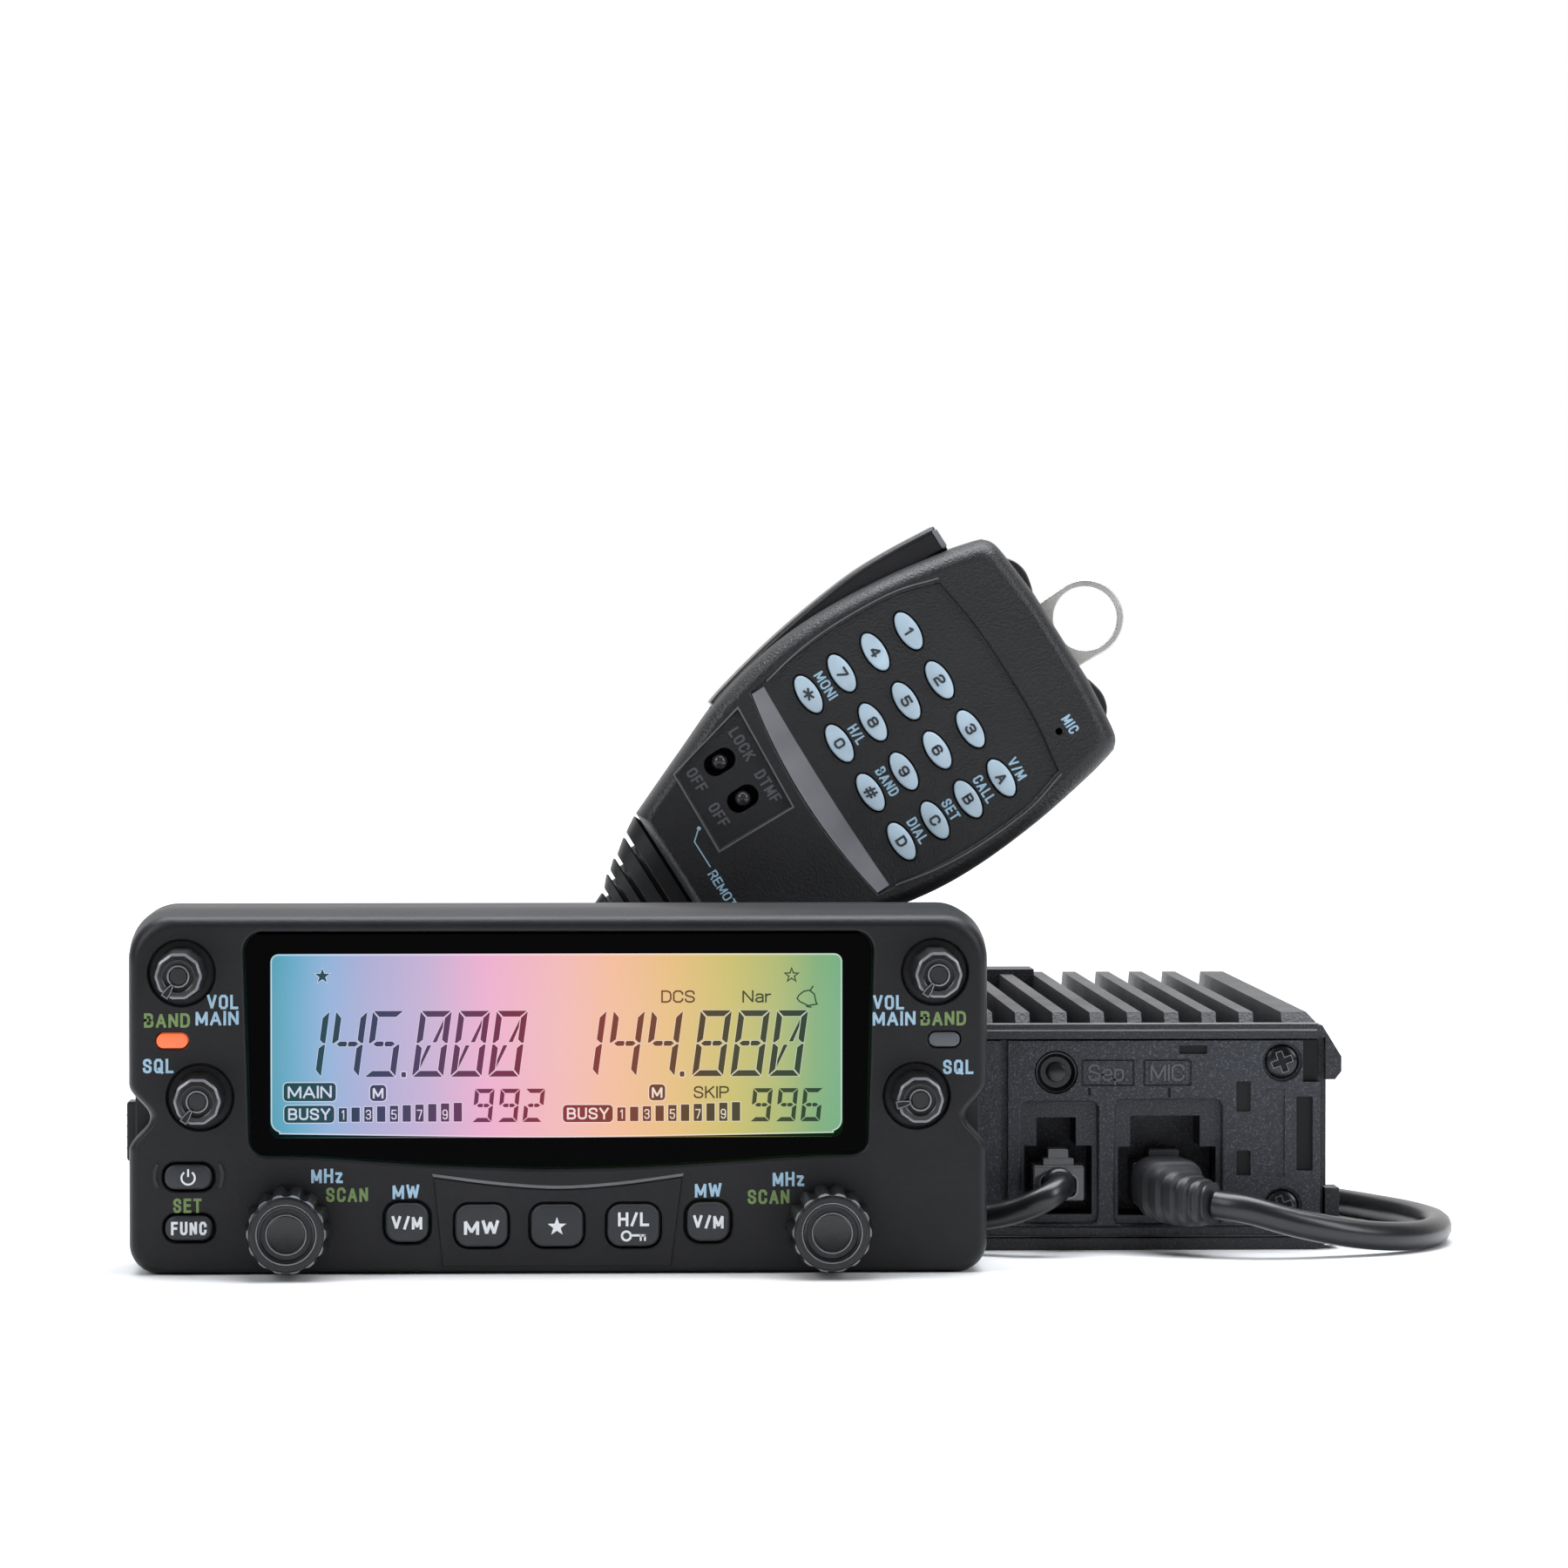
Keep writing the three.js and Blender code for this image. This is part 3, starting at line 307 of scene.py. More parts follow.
CASE_BLACK = (0.0098, 0.0098, 0.0115)
LOOKS = {
    "case": moulded("case_black", CASE_BLACK, 0.42, 1500, 0.035, Specular_IOR_Level=0.27),
    "case_fine": moulded("case_fine", (0.008, 0.008, 0.0095), 0.34, 2600, 0.02, Specular_IOR_Level=0.36),
    "grain": leather("mic_black", (0.0105, 0.0105, 0.012), 0.44),
    # Light grey for the keypad's sloped band and the talk lever's end: painted light where they face the
    # light.
    "painted_light_grey": moulded("slope_painted_light", (0.19, 0.19, 0.205), 0.45, 1500, 0.03),
    # Grey for raised letters, lighter than the plastic round them: a painted highlight on their tops.
    "emboss_highlight": moulded("emboss_painted_highlight", (0.085, 0.088, 0.1), 0.4, 1500, 0.02),
    "boot": moulded("boot_grey", (0.02, 0.02, 0.023), 0.5, 1500, 0.03),
    "paint": sparkling("cast_paint", (0.0155, 0.016, 0.0195), 0.46, 2800, 0.05),
    "panel": sparkling("panel_plastic", (0.022, 0.024, 0.031), 0.5, 3300, 0.07),
    # Pale grey for the strip along the lip's top edge: a painted highlight.
    "edge": moulded("painted_edge_highlight", (0.19, 0.193, 0.205), 0.3, 1200, 0.02),
    "knob": moulded("knob_black", (0.009, 0.009, 0.010), 0.28, 1800, 0.02, Specular_IOR_Level=0.42),
    "knob_grip": moulded("knob_grip", (0.0095, 0.0095, 0.0105), 0.36, 1500, 0.03, Specular_IOR_Level=0.42),
    "button": moulded("button_grey", (0.024, 0.025, 0.029), 0.46, 1700, 0.02, Specular_IOR_Level=0.42),
    "rubber": moulded("relief_rubber", (0.008, 0.008, 0.009), 0.42, 1400, 0.02, Specular_IOR_Level=0.4),
    "cord": moulded("cord_jacket", (0.009, 0.009, 0.011), 0.3, 700, 0.02),
    "clear": moulded("clear_plastic", (0.1, 0.1, 0.11), 0.07, 400, 0.02, Transmission_Weight=0.35, IOR=1.5),
    "gloss": moulded("window_gloss", (0.0008, 0.0008, 0.001), 0.1, 300, 0.002, Specular_IOR_Level=0.02),
    # Pale grey on thin edges of knobs, dials, screws and the clear plug: a painted highlight.
    "painted_highlight": moulded("knob_painted_highlight", (0.17, 0.17, 0.185), 0.22, 900, 0.01),
    # Near-black for recess floors, pockets, screw recesses and knob pointers: painted shade.
    "painted_shade_black": moulded("pocket_painted_shade", (0.006, 0.006, 0.007), 0.5, 900, 0.02, Specular_IOR_Level=0.3),
    "lamp_red": moulded("lamp_red", (0.72, 0.12, 0.045), 0.35, 900, 0.01, Emission_Color=(1, 0.16, 0.05, 1),
                        Emission_Strength=0.55),
    "lamp_grey": moulded("lamp_grey", (0.075, 0.08, 0.09), 0.3, 900, 0.01),
    "board": moulded("board_green", (0.015, 0.08, 0.035), 0.35, 600, 0.02),
    "steel": moulded("steel_satin", (0.5, 0.49, 0.47), 0.38, 700, 0.004, Metallic=0.9),
    "screw": metal("screw_black", (0.05, 0.05, 0.053), 0.24, (30, 1, 1)),
    "ball": moulded("switch_ball", (0.03, 0.03, 0.033), 0.16, 900, 0.004),
    "key": moulded("key_pale", (0.50, 0.60, 0.69), 0.4, 1200, 0.01, Subsurface_Weight=0.15),
    "gold": metal("contact_gold", (0.7, 0.5, 0.22), 0.25, (1, 1, 1)),
    # Mid grey for the head's ledge, the sill lines and the keypad's edge lines: a painted highlight.
    "painted_highlight_bevel": moulded("bevel_painted_highlight", (0.12, 0.12, 0.128), 0.5, 1500, 0.03),
    "ink_blue": ink("ink_blue", (0.36, 0.55, 0.70)),
    "ink_green": ink("ink_green", (0.17, 0.26, 0.085)),
    "ink_white": ink("ink_white", (0.78, 0.80, 0.82)),
    "ink_dark": ink("ink_dark", (0.03, 0.035, 0.05)),
    "screen": screen_look("screen_lit", SCREEN_COLOURS, 0.0, 0.03, 0.2),
    "segment": screen_look("screen_segments", [(at, shade(colour, 0.6)) for at, colour in SEGMENT_COLOURS],
                           0.0, 0.0, 0.3),
    "halo": screen_look("screen_halo", SCREEN_COLOURS, 0.5, 0.62, 0.3),
}


# ---------------------------------------------------------------- outlines, in X and Z


def quarter(steps):
    """The sine and cosine at each step of a quarter turn."""
    turns = [math.pi / 2 * i / steps for i in range(steps + 1)]
    return [(math.sin(turn), math.cos(turn)) for turn in turns]


def arc(x, z, radius, start, end, steps, squash=1.0):
    angles = [math.radians(start + (end - start) * i / steps) for i in range(steps + 1)]
    return [(x + radius * math.cos(a), z + radius * squash * math.sin(a)) for a in angles]


def circle(x, z, radius, steps=40):
    return arc(x, z, radius, 0, 360 - 360 / steps, steps - 1)


def oval(x, z, width, height):
    steps = 44
    return arc(x, z, width / 2, 0, 360 - 360 / steps, steps - 1, height / width)


def rounded(x, z, width, height, radius, steps=7):
    w = width / 2 - radius
    h = height / 2 - radius
    return (
        arc(x + w, z - h, radius, -90, 0, steps)
        + arc(x + w, z + h, radius, 0, 90, steps)
        + arc(x - w, z + h, radius, 90, 180, steps)
        + arc(x - w, z - h, radius, 180, 270, steps)
    )


def inward(outline, distance):
    """The outline moved inward by a distance, each corner along its own bisector."""
    count = len(outline)
    area = sum(a[0] * b[1] - b[0] * a[1] for a, b in zip(outline, outline[1:] + outline[:1]))
    side = 1 if area > 0 else -1
    moved = []
    for i, (x, z) in enumerate(outline):
        before = Vector((x - outline[i - 1][0], z - outline[i - 1][1])).normalized()
        after = Vector((outline[(i + 1) % count][0] - x, outline[(i + 1) % count][1] - z)).normalized()
        normal = Vector((-before.y - after.y, before.x + after.x))
        if normal.length < 1e-9:
            normal = Vector((-before.y, before.x))
        normal.normalize()
        reach = distance / max(0.5, normal.dot(Vector((-before.y, before.x))))
        moved.append((x + side * normal.x * reach, z + side * normal.y * reach))
    return moved


def spline(points, steps):
    """A smooth line through points of any dimension, evenly spaced in its parameter."""
    ends = [2 * Vector(points[0]) - Vector(points[1]), 2 * Vector(points[-1]) - Vector(points[-2])]
    row = [ends[0], *map(Vector, points), ends[1]]
    line = []
    for i in range(1, len(row) - 2):
        p0, p1, p2, p3 = row[i - 1:i + 3]
        for n in range(steps):
            t = n / steps
            line.append(0.5 * (2 * p1 + (p2 - p0) * t + (2 * p0 - 5 * p1 + 4 * p2 - p3) * t ** 2
                               + (3 * p1 - p0 - 3 * p2 + p3) * t ** 3))
    return [tuple(point) for point in [*line, Vector(points[-1])]]


# ---------------------------------------------------------------- meshes


def add_object(name, data):
    made = bpy.data.objects.new(name, data)
    bpy.context.scene.collection.objects.link(made)
    return made


def mesh_piece(name, vertices, faces, place):
    """A mesh object from millimetres in the given frame."""
    shape = bmesh.new()
    made = [shape.verts.new(vertex) for vertex in vertices]
    for face in faces:
        shape.faces.new([made[i] for i in face])
    bmesh.ops.recalc_face_normals(shape, faces=shape.faces)
    mesh = bpy.data.meshes.new(name)
    shape.to_mesh(mesh)
    shape.free()
    mesh.transform(place)
    return add_object(name, mesh)


def loft(name, rings, place, closed=True):
    """A skin through equal rings of points, with a flat cap at each end unless it is left open."""
    count = len(rings[0])
    vertices = [point for ring in rings for point in ring]
    faces = []
    for r in range(len(rings) - 1):
        for i in range(count):
            a = r * count + i
            b = r * count + (i + 1) % count
            faces.append((a, b, b + count, a + count))
    if closed:
        faces.append(tuple(range(count)))
        faces.append(tuple(range((len(rings) - 1) * count, len(rings) * count)))
    return mesh_piece(name, vertices, faces, place)


def strip(name, rows, place):
    """A solid strip from open rows of points that lie round it."""
    turns = len(rows)
    count = len(rows[0])
    faces = [
        (r * count + i, r * count + i + 1, (r + 1) % turns * count + i + 1, (r + 1) % turns * count + i)
        for r in range(turns) for i in range(count - 1)
    ]
    faces += [tuple(r * count + end for r in range(turns)) for end in (0, count - 1)]
    return mesh_piece(name, [point for row in rows for point in row], faces, place)


def at_depth(outline, y):
    return [(x, y, z) for x, z in outline]


def block(name, outline, y0, y1, place, soft_front=0.0, soft_back=0.0, steps=4, dome=0.0):
    """An outline made solid from y0 to y1. Its front and back edges can be rounded, and its front domed."""

    def edge(soft, y, way):
        if not soft:
            return [at_depth(outline, y)]
        return [at_depth(inward(outline, soft * (1 - s)), y + way * soft * (1 - c))
                for s, c in quarter(steps)]

    rings = edge(soft_front, y0, 1) + edge(soft_back, y1, -1)[::-1]
    if dome:
        x = sum(p[0] for p in outline) / len(outline)
        z = sum(p[1] for p in outline) / len(outline)
        crown = []
        for part in (0.25, 0.5, 0.75, 0.92):
            lift = dome * (1 - part ** 2)
            crown.append([(x + (px - x) * part, y0 - lift, z + (pz - z) * part) for px, _, pz in rings[0]])
        rings = crown + rings
    return loft(name, rings, place)


def turned(name, profile, x, z, place, steps=48):
    """A turned piece along Y. The profile is (radius, y) from front to back."""
    return loft(name, [at_depth(circle(x, z, max(radius, 0.01), steps), y) for radius, y in profile], place)


def hoop(name, x, z, section, place, steps):
    """A ring round an axis along Y. Its section is (radius, y) points."""
    rings = [at_depth(circle(x, z, radius, steps), y) for radius, y in [*section, section[0]]]
    return loft(name, rings, place, closed=False)


def cuboid(name, x0, x1, y0, y1, z0, z1, place, soft):
    """A box with rounded front edges and corners."""
    x0, x1 = sorted((x0, x1))
    outline = rounded((x0 + x1) / 2, (z0 + z1) / 2, x1 - x0, z1 - z0, soft, 3)
    return block(name, outline, y0, y1, place, soft * 0.7, soft * 0.7, 3)


def well(outline, y0, y1, place, chamfer, floor=0.0):
    """A cutter from the front: a hole with a bevelled mouth, or a dish with a rounded floor."""
    mouth = inward(outline, -chamfer)
    rings = [at_depth(mouth, y0 - 2), at_depth(mouth, y0 - 0.001)]
    rings.append(at_depth(inward(outline, -chamfer * 0.35), y0 + chamfer * 0.35))
    rings.append(at_depth(outline, y0 + chamfer))
    if floor:
        rings.append(at_depth(outline, y1 - floor))
        rings.append(at_depth(inward(outline, floor * 0.3), y1 - floor * 0.3))
        rings.append(at_depth(inward(outline, floor), y1))
    else:
        rings.append(at_depth(outline, y1))
    return loft("cutter", rings, place)


def settle(piece):
    """Applies the piece's modifiers."""
    made = bpy.data.meshes.new_from_object(piece.evaluated_get(bpy.context.evaluated_depsgraph_get()))
    piece.modifiers.clear()
    piece.data = made
    return piece


def carve(piece, cutters):
    for cutter in cutters:
        change = piece.modifiers.new("carve", "BOOLEAN")
        change.operation = "DIFFERENCE"
        change.solver = "EXACT"
        change.object = cutter
    settle(piece)
    for cutter in cutters:
        bpy.data.objects.remove(cutter)
    return piece


def fuse(name, pieces):
    """Several meshes in one object."""
    shape = bmesh.new()
    for piece in pieces:
        shape.from_mesh(piece.data)
    mesh = bpy.data.meshes.new(name)
    shape.to_mesh(mesh)
    shape.free()
    for piece in pieces:
        bpy.data.objects.remove(piece)
    return add_object(name, mesh)


def soften(piece, width, angle, segments=2):
    """Rounds the sharp edges by a width in millimetres."""
    change = piece.modifiers.new("soften", "BEVEL")
    change.width = width * MM
    change.segments = segments
    change.limit_method = "ANGLE"
    change.angle_limit = math.radians(angle)
    change.use_clamp_overlap = True
    change.harden_normals = False
    return settle(piece)


def finish_piece(piece, body, look, stands_for=(), sharp=32):
    piece.data.shade_smooth()
    piece.data.set_sharp_from_angle(angle=math.radians(sharp))
    even = piece.modifiers.new("even", "WEIGHTED_NORMAL")
    even.keep_sharp = True
    piece.data.materials.clear()
    piece.data.materials.append(LOOKS[look])
    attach(piece, body)
    if stands_for:
        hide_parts(*([stands_for] if isinstance(stands_for, str) else stands_for))
    return piece


def clean(mesh):
    """Makes the flat faces of a copied CAD mesh whole."""
    shape = bmesh.new()
    shape.from_mesh(mesh)
    bmesh.ops.remove_doubles(shape, verts=shape.verts, dist=0.002 * MM)
    bmesh.ops.dissolve_limit(shape, angle_limit=math.radians(1.5), verts=shape.verts, edges=shape.edges)
    shape.to_mesh(mesh)
    shape.free()


def refined(node, width):
    """A copy of a cast CAD node of the main unit with its edges rounded."""
    mesh = frame["nodes"][node].data.copy()
    clean(mesh)
    piece = soften(add_object(f"{node}_shell", mesh), width, 30)
    return finish_piece(piece, "main_unit", "paint", node)


# ---------------------------------------------------------------- markings


ROUND_BOX = [(0.15, 0), (0.45, 0), (0.6, 0.17), (0.6, 0.83), (0.45, 1), (0.15, 1), (0, 0.83), (0, 0.17),
             (0.15, 0)]
SIX = [(0.56, 0.84), (0.44, 1), (0.15, 1), (0, 0.84), (0, 0.15), (0.15, 0), (0.45, 0), (0.6, 0.15),
       (0.6, 0.42), (0.45, 0.56), (0.12, 0.56), (0, 0.44)]
BOWL = [(0, 0), (0, 1), (0.4, 1), (0.55, 0.92), (0.6, 0.74), (0.55, 0.56), (0.4, 0.47), (0, 0.47)]
# Each letter is a row of pen lines. Capitals are 1 tall.
LETTERS = {
    "A": [[(0, 0), (0.33, 1), (0.66, 0)], [(0.12, 0.3), (0.54, 0.3)]],
    "B": [[(0, 0.52), (0.4, 0.52), (0.55, 0.44), (0.6, 0.25), (0.55, 0.08), (0.4, 0), (0, 0), (0, 1),
           (0.38, 1), (0.52, 0.92), (0.56, 0.76), (0.52, 0.6), (0.4, 0.52)]],
    "C": [[(0.6, 0.74), (0.6, 0.83), (0.45, 1), (0.15, 1), (0, 0.83), (0, 0.17), (0.15, 0), (0.45, 0),
           (0.6, 0.17), (0.6, 0.26)]],
    "D": [[(0, 0), (0.36, 0), (0.53, 0.1), (0.6, 0.3), (0.6, 0.7), (0.53, 0.9), (0.36, 1), (0, 1), (0, 0)]],
    "E": [[(0.54, 0), (0, 0), (0, 1), (0.54, 1)], [(0, 0.52), (0.48, 0.52)]],
    "F": [[(0, 0), (0, 1), (0.54, 1)], [(0, 0.5), (0.46, 0.5)]],
    "H": [[(0, 0), (0, 1)], [(0.6, 0), (0.6, 1)], [(0, 0.52), (0.6, 0.52)]],
    "I": [[(0, 0), (0, 1)]],
    "K": [[(0, 0), (0, 1)], [(0.56, 1), (0, 0.4)], [(0.22, 0.62), (0.6, 0)]],
    "L": [[(0, 1), (0, 0), (0.5, 0)]],
    "M": [[(0, 0), (0, 1), (0.37, 0.12), (0.74, 1), (0.74, 0)]],
    "N": [[(0, 0), (0, 1), (0.6, 0), (0.6, 1)]],
    "O": [ROUND_BOX],
    "P": [BOWL],
    "Q": [ROUND_BOX, [(0.36, 0.26), (0.64, -0.04)]],
    "R": [BOWL, [(0.36, 0.47), (0.6, 0)]],
    "S": [[(0.58, 0.76), (0.54, 0.92), (0.4, 1), (0.2, 1), (0.05, 0.92), (0, 0.76), (0.06, 0.6), (0.2, 0.54),
           (0.42, 0.46), (0.56, 0.38), (0.6, 0.24), (0.55, 0.08), (0.4, 0), (0.2, 0), (0.05, 0.07),
           (0, 0.24)]],
    "T": [[(0, 1), (0.6, 1)], [(0.3, 1), (0.3, 0)]],
    "U": [[(0, 1), (0, 0.2), (0.08, 0.06), (0.2, 0), (0.4, 0), (0.52, 0.06), (0.6, 0.2), (0.6, 1)]],
    "V": [[(0, 1), (0.32, 0), (0.64, 1)]],
    "W": [[(0, 1), (0.2, 0), (0.43, 0.95), (0.66, 0), (0.86, 1)]],
    "Y": [[(0, 1), (0.31, 0.45), (0.62, 1)], [(0.31, 0.45), (0.31, 0)]],
    "a": [[(0.04, 0.6), (0.12, 0.7), (0.34, 0.7), (0.44, 0.6), (0.44, 0)],
          [(0.44, 0.4), (0.12, 0.36), (0.02, 0.24), (0.02, 0.1), (0.12, 0), (0.3, 0), (0.44, 0.12)]],
    "e": [[(0, 0.36), (0.46, 0.36), (0.46, 0.54), (0.36, 0.7), (0.12, 0.7), (0, 0.55), (0, 0.15), (0.12, 0),
           (0.36, 0), (0.46, 0.12)]],
    "p": [[(0, -0.28), (0, 0.7), (0.34, 0.7), (0.46, 0.58), (0.46, 0.12), (0.34, 0), (0, 0)]],
    "r": [[(0, 0), (0, 0.7)], [(0, 0.5), (0.1, 0.66), (0.28, 0.7)]],
    "z": [[(0, 0.7), (0.45, 0.7), (0, 0), (0.45, 0)]],
    ".": [[(0, 0), (0, 0.02)]],
    "/": [[(0, 0), (0.34, 1)]],
    "#": [[(0.1, 0), (0.22, 1)], [(0.38, 0), (0.5, 1)], [(0, 0.3), (0.58, 0.3)], [(0.02, 0.68), (0.6, 0.68)]],
    "*": [[(0.3, 0.9), (0.3, 0.1)], [(0, 0.72), (0.6, 0.28)], [(0, 0.28), (0.6, 0.72)]],
    "0": [ROUND_BOX],
    "1": [[(0.02, 0.78), (0.24, 1), (0.24, 0)]],
    "2": [[(0, 0.78), (0, 0.85), (0.15, 1), (0.45, 1), (0.6, 0.85), (0.6, 0.63), (0.48, 0.52), (0.13, 0.44),
           (0, 0.32), (0, 0), (0.6, 0)]],
    "3": [[(0, 0.82), (0.14, 1), (0.45, 1), (0.6, 0.86), (0.6, 0.65), (0.47, 0.52), (0.2, 0.52)],
          [(0.47, 0.52), (0.6, 0.4), (0.6, 0.14), (0.45, 0), (0.14, 0), (0, 0.18)]],
    "4": [[(0.46, 0), (0.46, 1), (0, 0.36), (0, 0.26), (0.62, 0.26)]],
    "5": [[(0.58, 1), (0.04, 1), (0, 0.52), (0.12, 0.58), (0.45, 0.58), (0.6, 0.44), (0.6, 0.14), (0.45, 0),
           (0.14, 0), (0, 0.16)]],
    "6": [SIX],
    "7": [[(0, 1), (0.6, 1), (0.6, 0.86), (0.24, 0)]],
    "8": [[(0.14, 0.53), (0, 0.66), (0, 0.86), (0.14, 1), (0.46, 1), (0.6, 0.86), (0.6, 0.66), (0.46, 0.53),
           (0.14, 0.53)], [(0.14, 0.53), (0, 0.4), (0, 0.14), (0.14, 0), (0.46, 0), (0.6, 0.14), (0.6, 0.4),
           (0.46, 0.53)]],
    "9": [[(0.6 - x, 1 - z) for x, z in SIX]],
}


def pen_runs(line, pen):
    """A letter's line cut where it turns back sharply, with each free end drawn on by half the pen."""
    points = [Vector(point) for point in line]
    if (points[0] - points[-1]).length < 1e-6:
        return [points]
    runs = [[points[0]]]
    for i in range(1, len(points)):
        runs[-1].append(points[i])
        if i + 1 < len(points):
            before = (points[i] - points[i - 1]).normalized()
            after = (points[i + 1] - points[i]).normalized()
            if before.dot(after) < -0.15:
                runs.append([points[i]])
    for n, run in enumerate(runs):
        # A corner inside the letter is drawn on only a little, or a V would grow a stem.
        before = pen * (0.5 if n == 0 else 0.12)
        after = pen * (0.5 if n == len(runs) - 1 else 0.12)
        first = (run[0] - run[1]).normalized() * before
        last = (run[-1] - run[-2]).normalized() * after
        run[0] = run[0] + first
        run[-1] = run[-1] + last
    return runs


def lettering(words, x, z, width, height, pen, y, place, thick=0.1):
    """Words drawn with an even pen and fitted to a width and a height, centred on x and z."""
    sizes = [max(px for line in LETTERS[letter] for px, _ in line) for letter in words]
    space = pen * 0.85
    wide = (width - len(words) * pen - (len(words) - 1) * space) / max(sum(sizes), 0.01)
    tall = height - pen
    at = x - width / 2 + pen / 2
    pieces = []
    for letter, size in zip(words, sizes):
        for line in LETTERS[letter]:
            points = [(at + px * wide, z - tall / 2 + pz * tall) for px, pz in line]
            for run in pen_runs(points, pen):
                # Strokes that cross lie at slightly different depths.
                pieces.append(stroke(run, pen, y, place, thick * (1 + 0.06 * (len(pieces) % 5))))
        at += size * wide + pen + space
    return pieces


def flat_shape(outline, y, place, thick=0.12):
    return block("mark", outline, y - thick / 2, y + thick / 2, place)


def stroke(points, width, y, place, thick=0.12):
    """A flat line of a given width through points in X and Z. It closes when it ends where it starts."""
    row = [Vector(point) for point in points]
    closed = (row[0] - row[-1]).length < 1e-6
    rings = []
    for i, point in enumerate(row):
        before = row[i] - row[i - 1] if i else None
        after = row[i + 1] - row[i] if i + 1 < len(row) else None
        if closed:
            before = before or row[-1] - row[-2]
            after = after or row[1] - row[0]
        sides = [Vector((-way.y, way.x)).normalized() for way in (before, after) if way]
        across = (sides[0] + sides[-1]).normalized()
        across *= width / 2 / max(0.45, across.dot(sides[0]))
        left = point + across
        right = point - across
        rings.append([(p.x, depth, p.y) for p, depth in [
            (left, y - thick / 2), (right, y - thick / 2), (right, y + thick / 2), (left, y + thick / 2),
        ]])
    return loft("mark", rings, place, closed=not closed)


def frame_line(outline, width, y, place, thick=0.12):
    """A closed line along an outline, inside it."""
    inner = inward(outline, width)
    rings = [
        at_depth(outline, y - thick / 2), at_depth(inner, y - thick / 2),
        at_depth(inner, y + thick / 2), at_depth(outline, y + thick / 2),
    ]
    return loft("mark", [*rings, rings[0]], place, closed=False)


def star(x, z, radius):
    points = []
    for i in range(10):
        reach = radius if i % 2 == 0 else radius * 0.4
        angle = math.radians(90 + i * 36)
        points.append((x + reach * math.cos(angle), z + reach * math.sin(angle)))
    return points


def mark_group(name, pieces, body, look):
    return finish_piece(fuse(name, pieces), body, look)


# ---------------------------------------------------------------- camera


def aim_camera():
    data = bpy.data.cameras.new("camera")
    camera = add_object("camera", data)
    data.sensor_width = 36
    data.lens = 158.6
    data.clip_start = 0.05
    data.clip_end = 20
    camera.location = (-0.0798, -1.3715, 0.116)
    camera.rotation_mode = "QUATERNION"
    camera.rotation_quaternion = Vector((0.300, 7.930, -0.176)).to_track_quat("-Z", "Y")
    bpy.context.scene.camera = camera


# ---------------------------------------------------------------- cords


def centripetal(route, steps):
    """The smooth centripetal curve through a route, which is how the CAD source draws it."""
    points = [Vector(p) for p in route]
    row = [2 * points[0] - points[1], *points, 2 * points[-1] - points[-2]]
    line = []
    for i in range(1, len(row) - 2):
        p0, p1, p2, p3 = row[i - 1:i + 3]
        gaps = [max((b - a).length ** 0.5, 1e-6) for a, b in ((p0, p1), (p1, p2), (p2, p3))]
        m1 = (p1 - p0) / gaps[0] - (p2 - p0) / (gaps[0] + gaps[1]) + (p2 - p1) / gaps[1]
        m2 = (p2 - p1) / gaps[1] - (p3 - p1) / (gaps[1] + gaps[2]) + (p3 - p2) / gaps[2]
        m1 *= gaps[1]
        m2 *= gaps[1]
        for n in range(steps):
            t = n / steps
            line.append((2 * t ** 3 - 3 * t ** 2 + 1) * p1 + (t ** 3 - 2 * t ** 2 + t) * m1
                        + (3 * t ** 2 - 2 * t ** 3) * p2 + (t ** 3 - t ** 2) * m2)
    return [*line, points[-1]]


def line_length(line):
    return sum((b - a).length for a, b in zip(line, line[1:]))


def cord_curve(name, line, diameter):
    """A round cord along a fine line of points."""
    curve = bpy.data.curves.new(name, "CURVE")
    curve.dimensions = "3D"
    curve.bevel_depth = diameter / 2 * MM
    curve.bevel_resolution = 5
    curve.use_fill_caps = True
    run = curve.splines.new("POLY")
    run.points.add(len(line) - 1)
    for point, place in zip(run.points, line):
        point.co = (*(place * MM), 1)
    curve.materials.append(LOOKS["cord"])
    return add_object(name, curve)


def cord_mesh(name, line, diameter):
    """The same as a mesh, for a cord that runs between two bodies."""
    rings = []
    sides = 20
    across = Vector((0, 0, 1))
    for i, point in enumerate(line):
        along = (line[min(i + 1, len(line) - 1)] - line[max(i - 1, 0)]).normalized()
        across = (across - along * across.dot(along)).normalized()
        other = along.cross(across)
        ring = []
        for n in range(sides):
            angle = 2 * math.pi * n / sides
            ring.append(point + (across * math.cos(angle) + other * math.sin(angle)) * diameter / 2)
        rings.append(ring)
    piece = loft(name, rings, UNIT)
    piece.data.shade_smooth()
    piece.data.materials.append(LOOKS["cord"])
    return piece


def helix(line, coil_radius, pitch, per_turn):
    """A coil of a given radius round a fine line, closing in over the first and the last turn."""
    total = line_length(line)
    turns = round(total / pitch)
    count = turns * per_turn
    coil = []
    travelled = 0.0
    step = 0
    across = Vector((0, 0, 1))
    for i in range(count + 1):
        wanted = total * i / count
        while step < len(line) - 2 and travelled + (line[step + 1] - line[step]).length < wanted:
            travelled += (line[step + 1] - line[step]).length
            step += 1
        along = line[step + 1] - line[step]
        centre = line[step] + along * ((wanted - travelled) / along.length)
        along = along.normalized()
        across = (across - along * across.dot(along)).normalized()
        other = along.cross(across)
        angle = 2 * math.pi * i / per_turn
        reach = coil_radius * min(1.0, 4 * i / count * turns / 4, 4 * (count - i) / count * turns / 4)
        coil.append(centre + (across * math.cos(angle) + other * math.sin(angle)) * reach)
    return coil


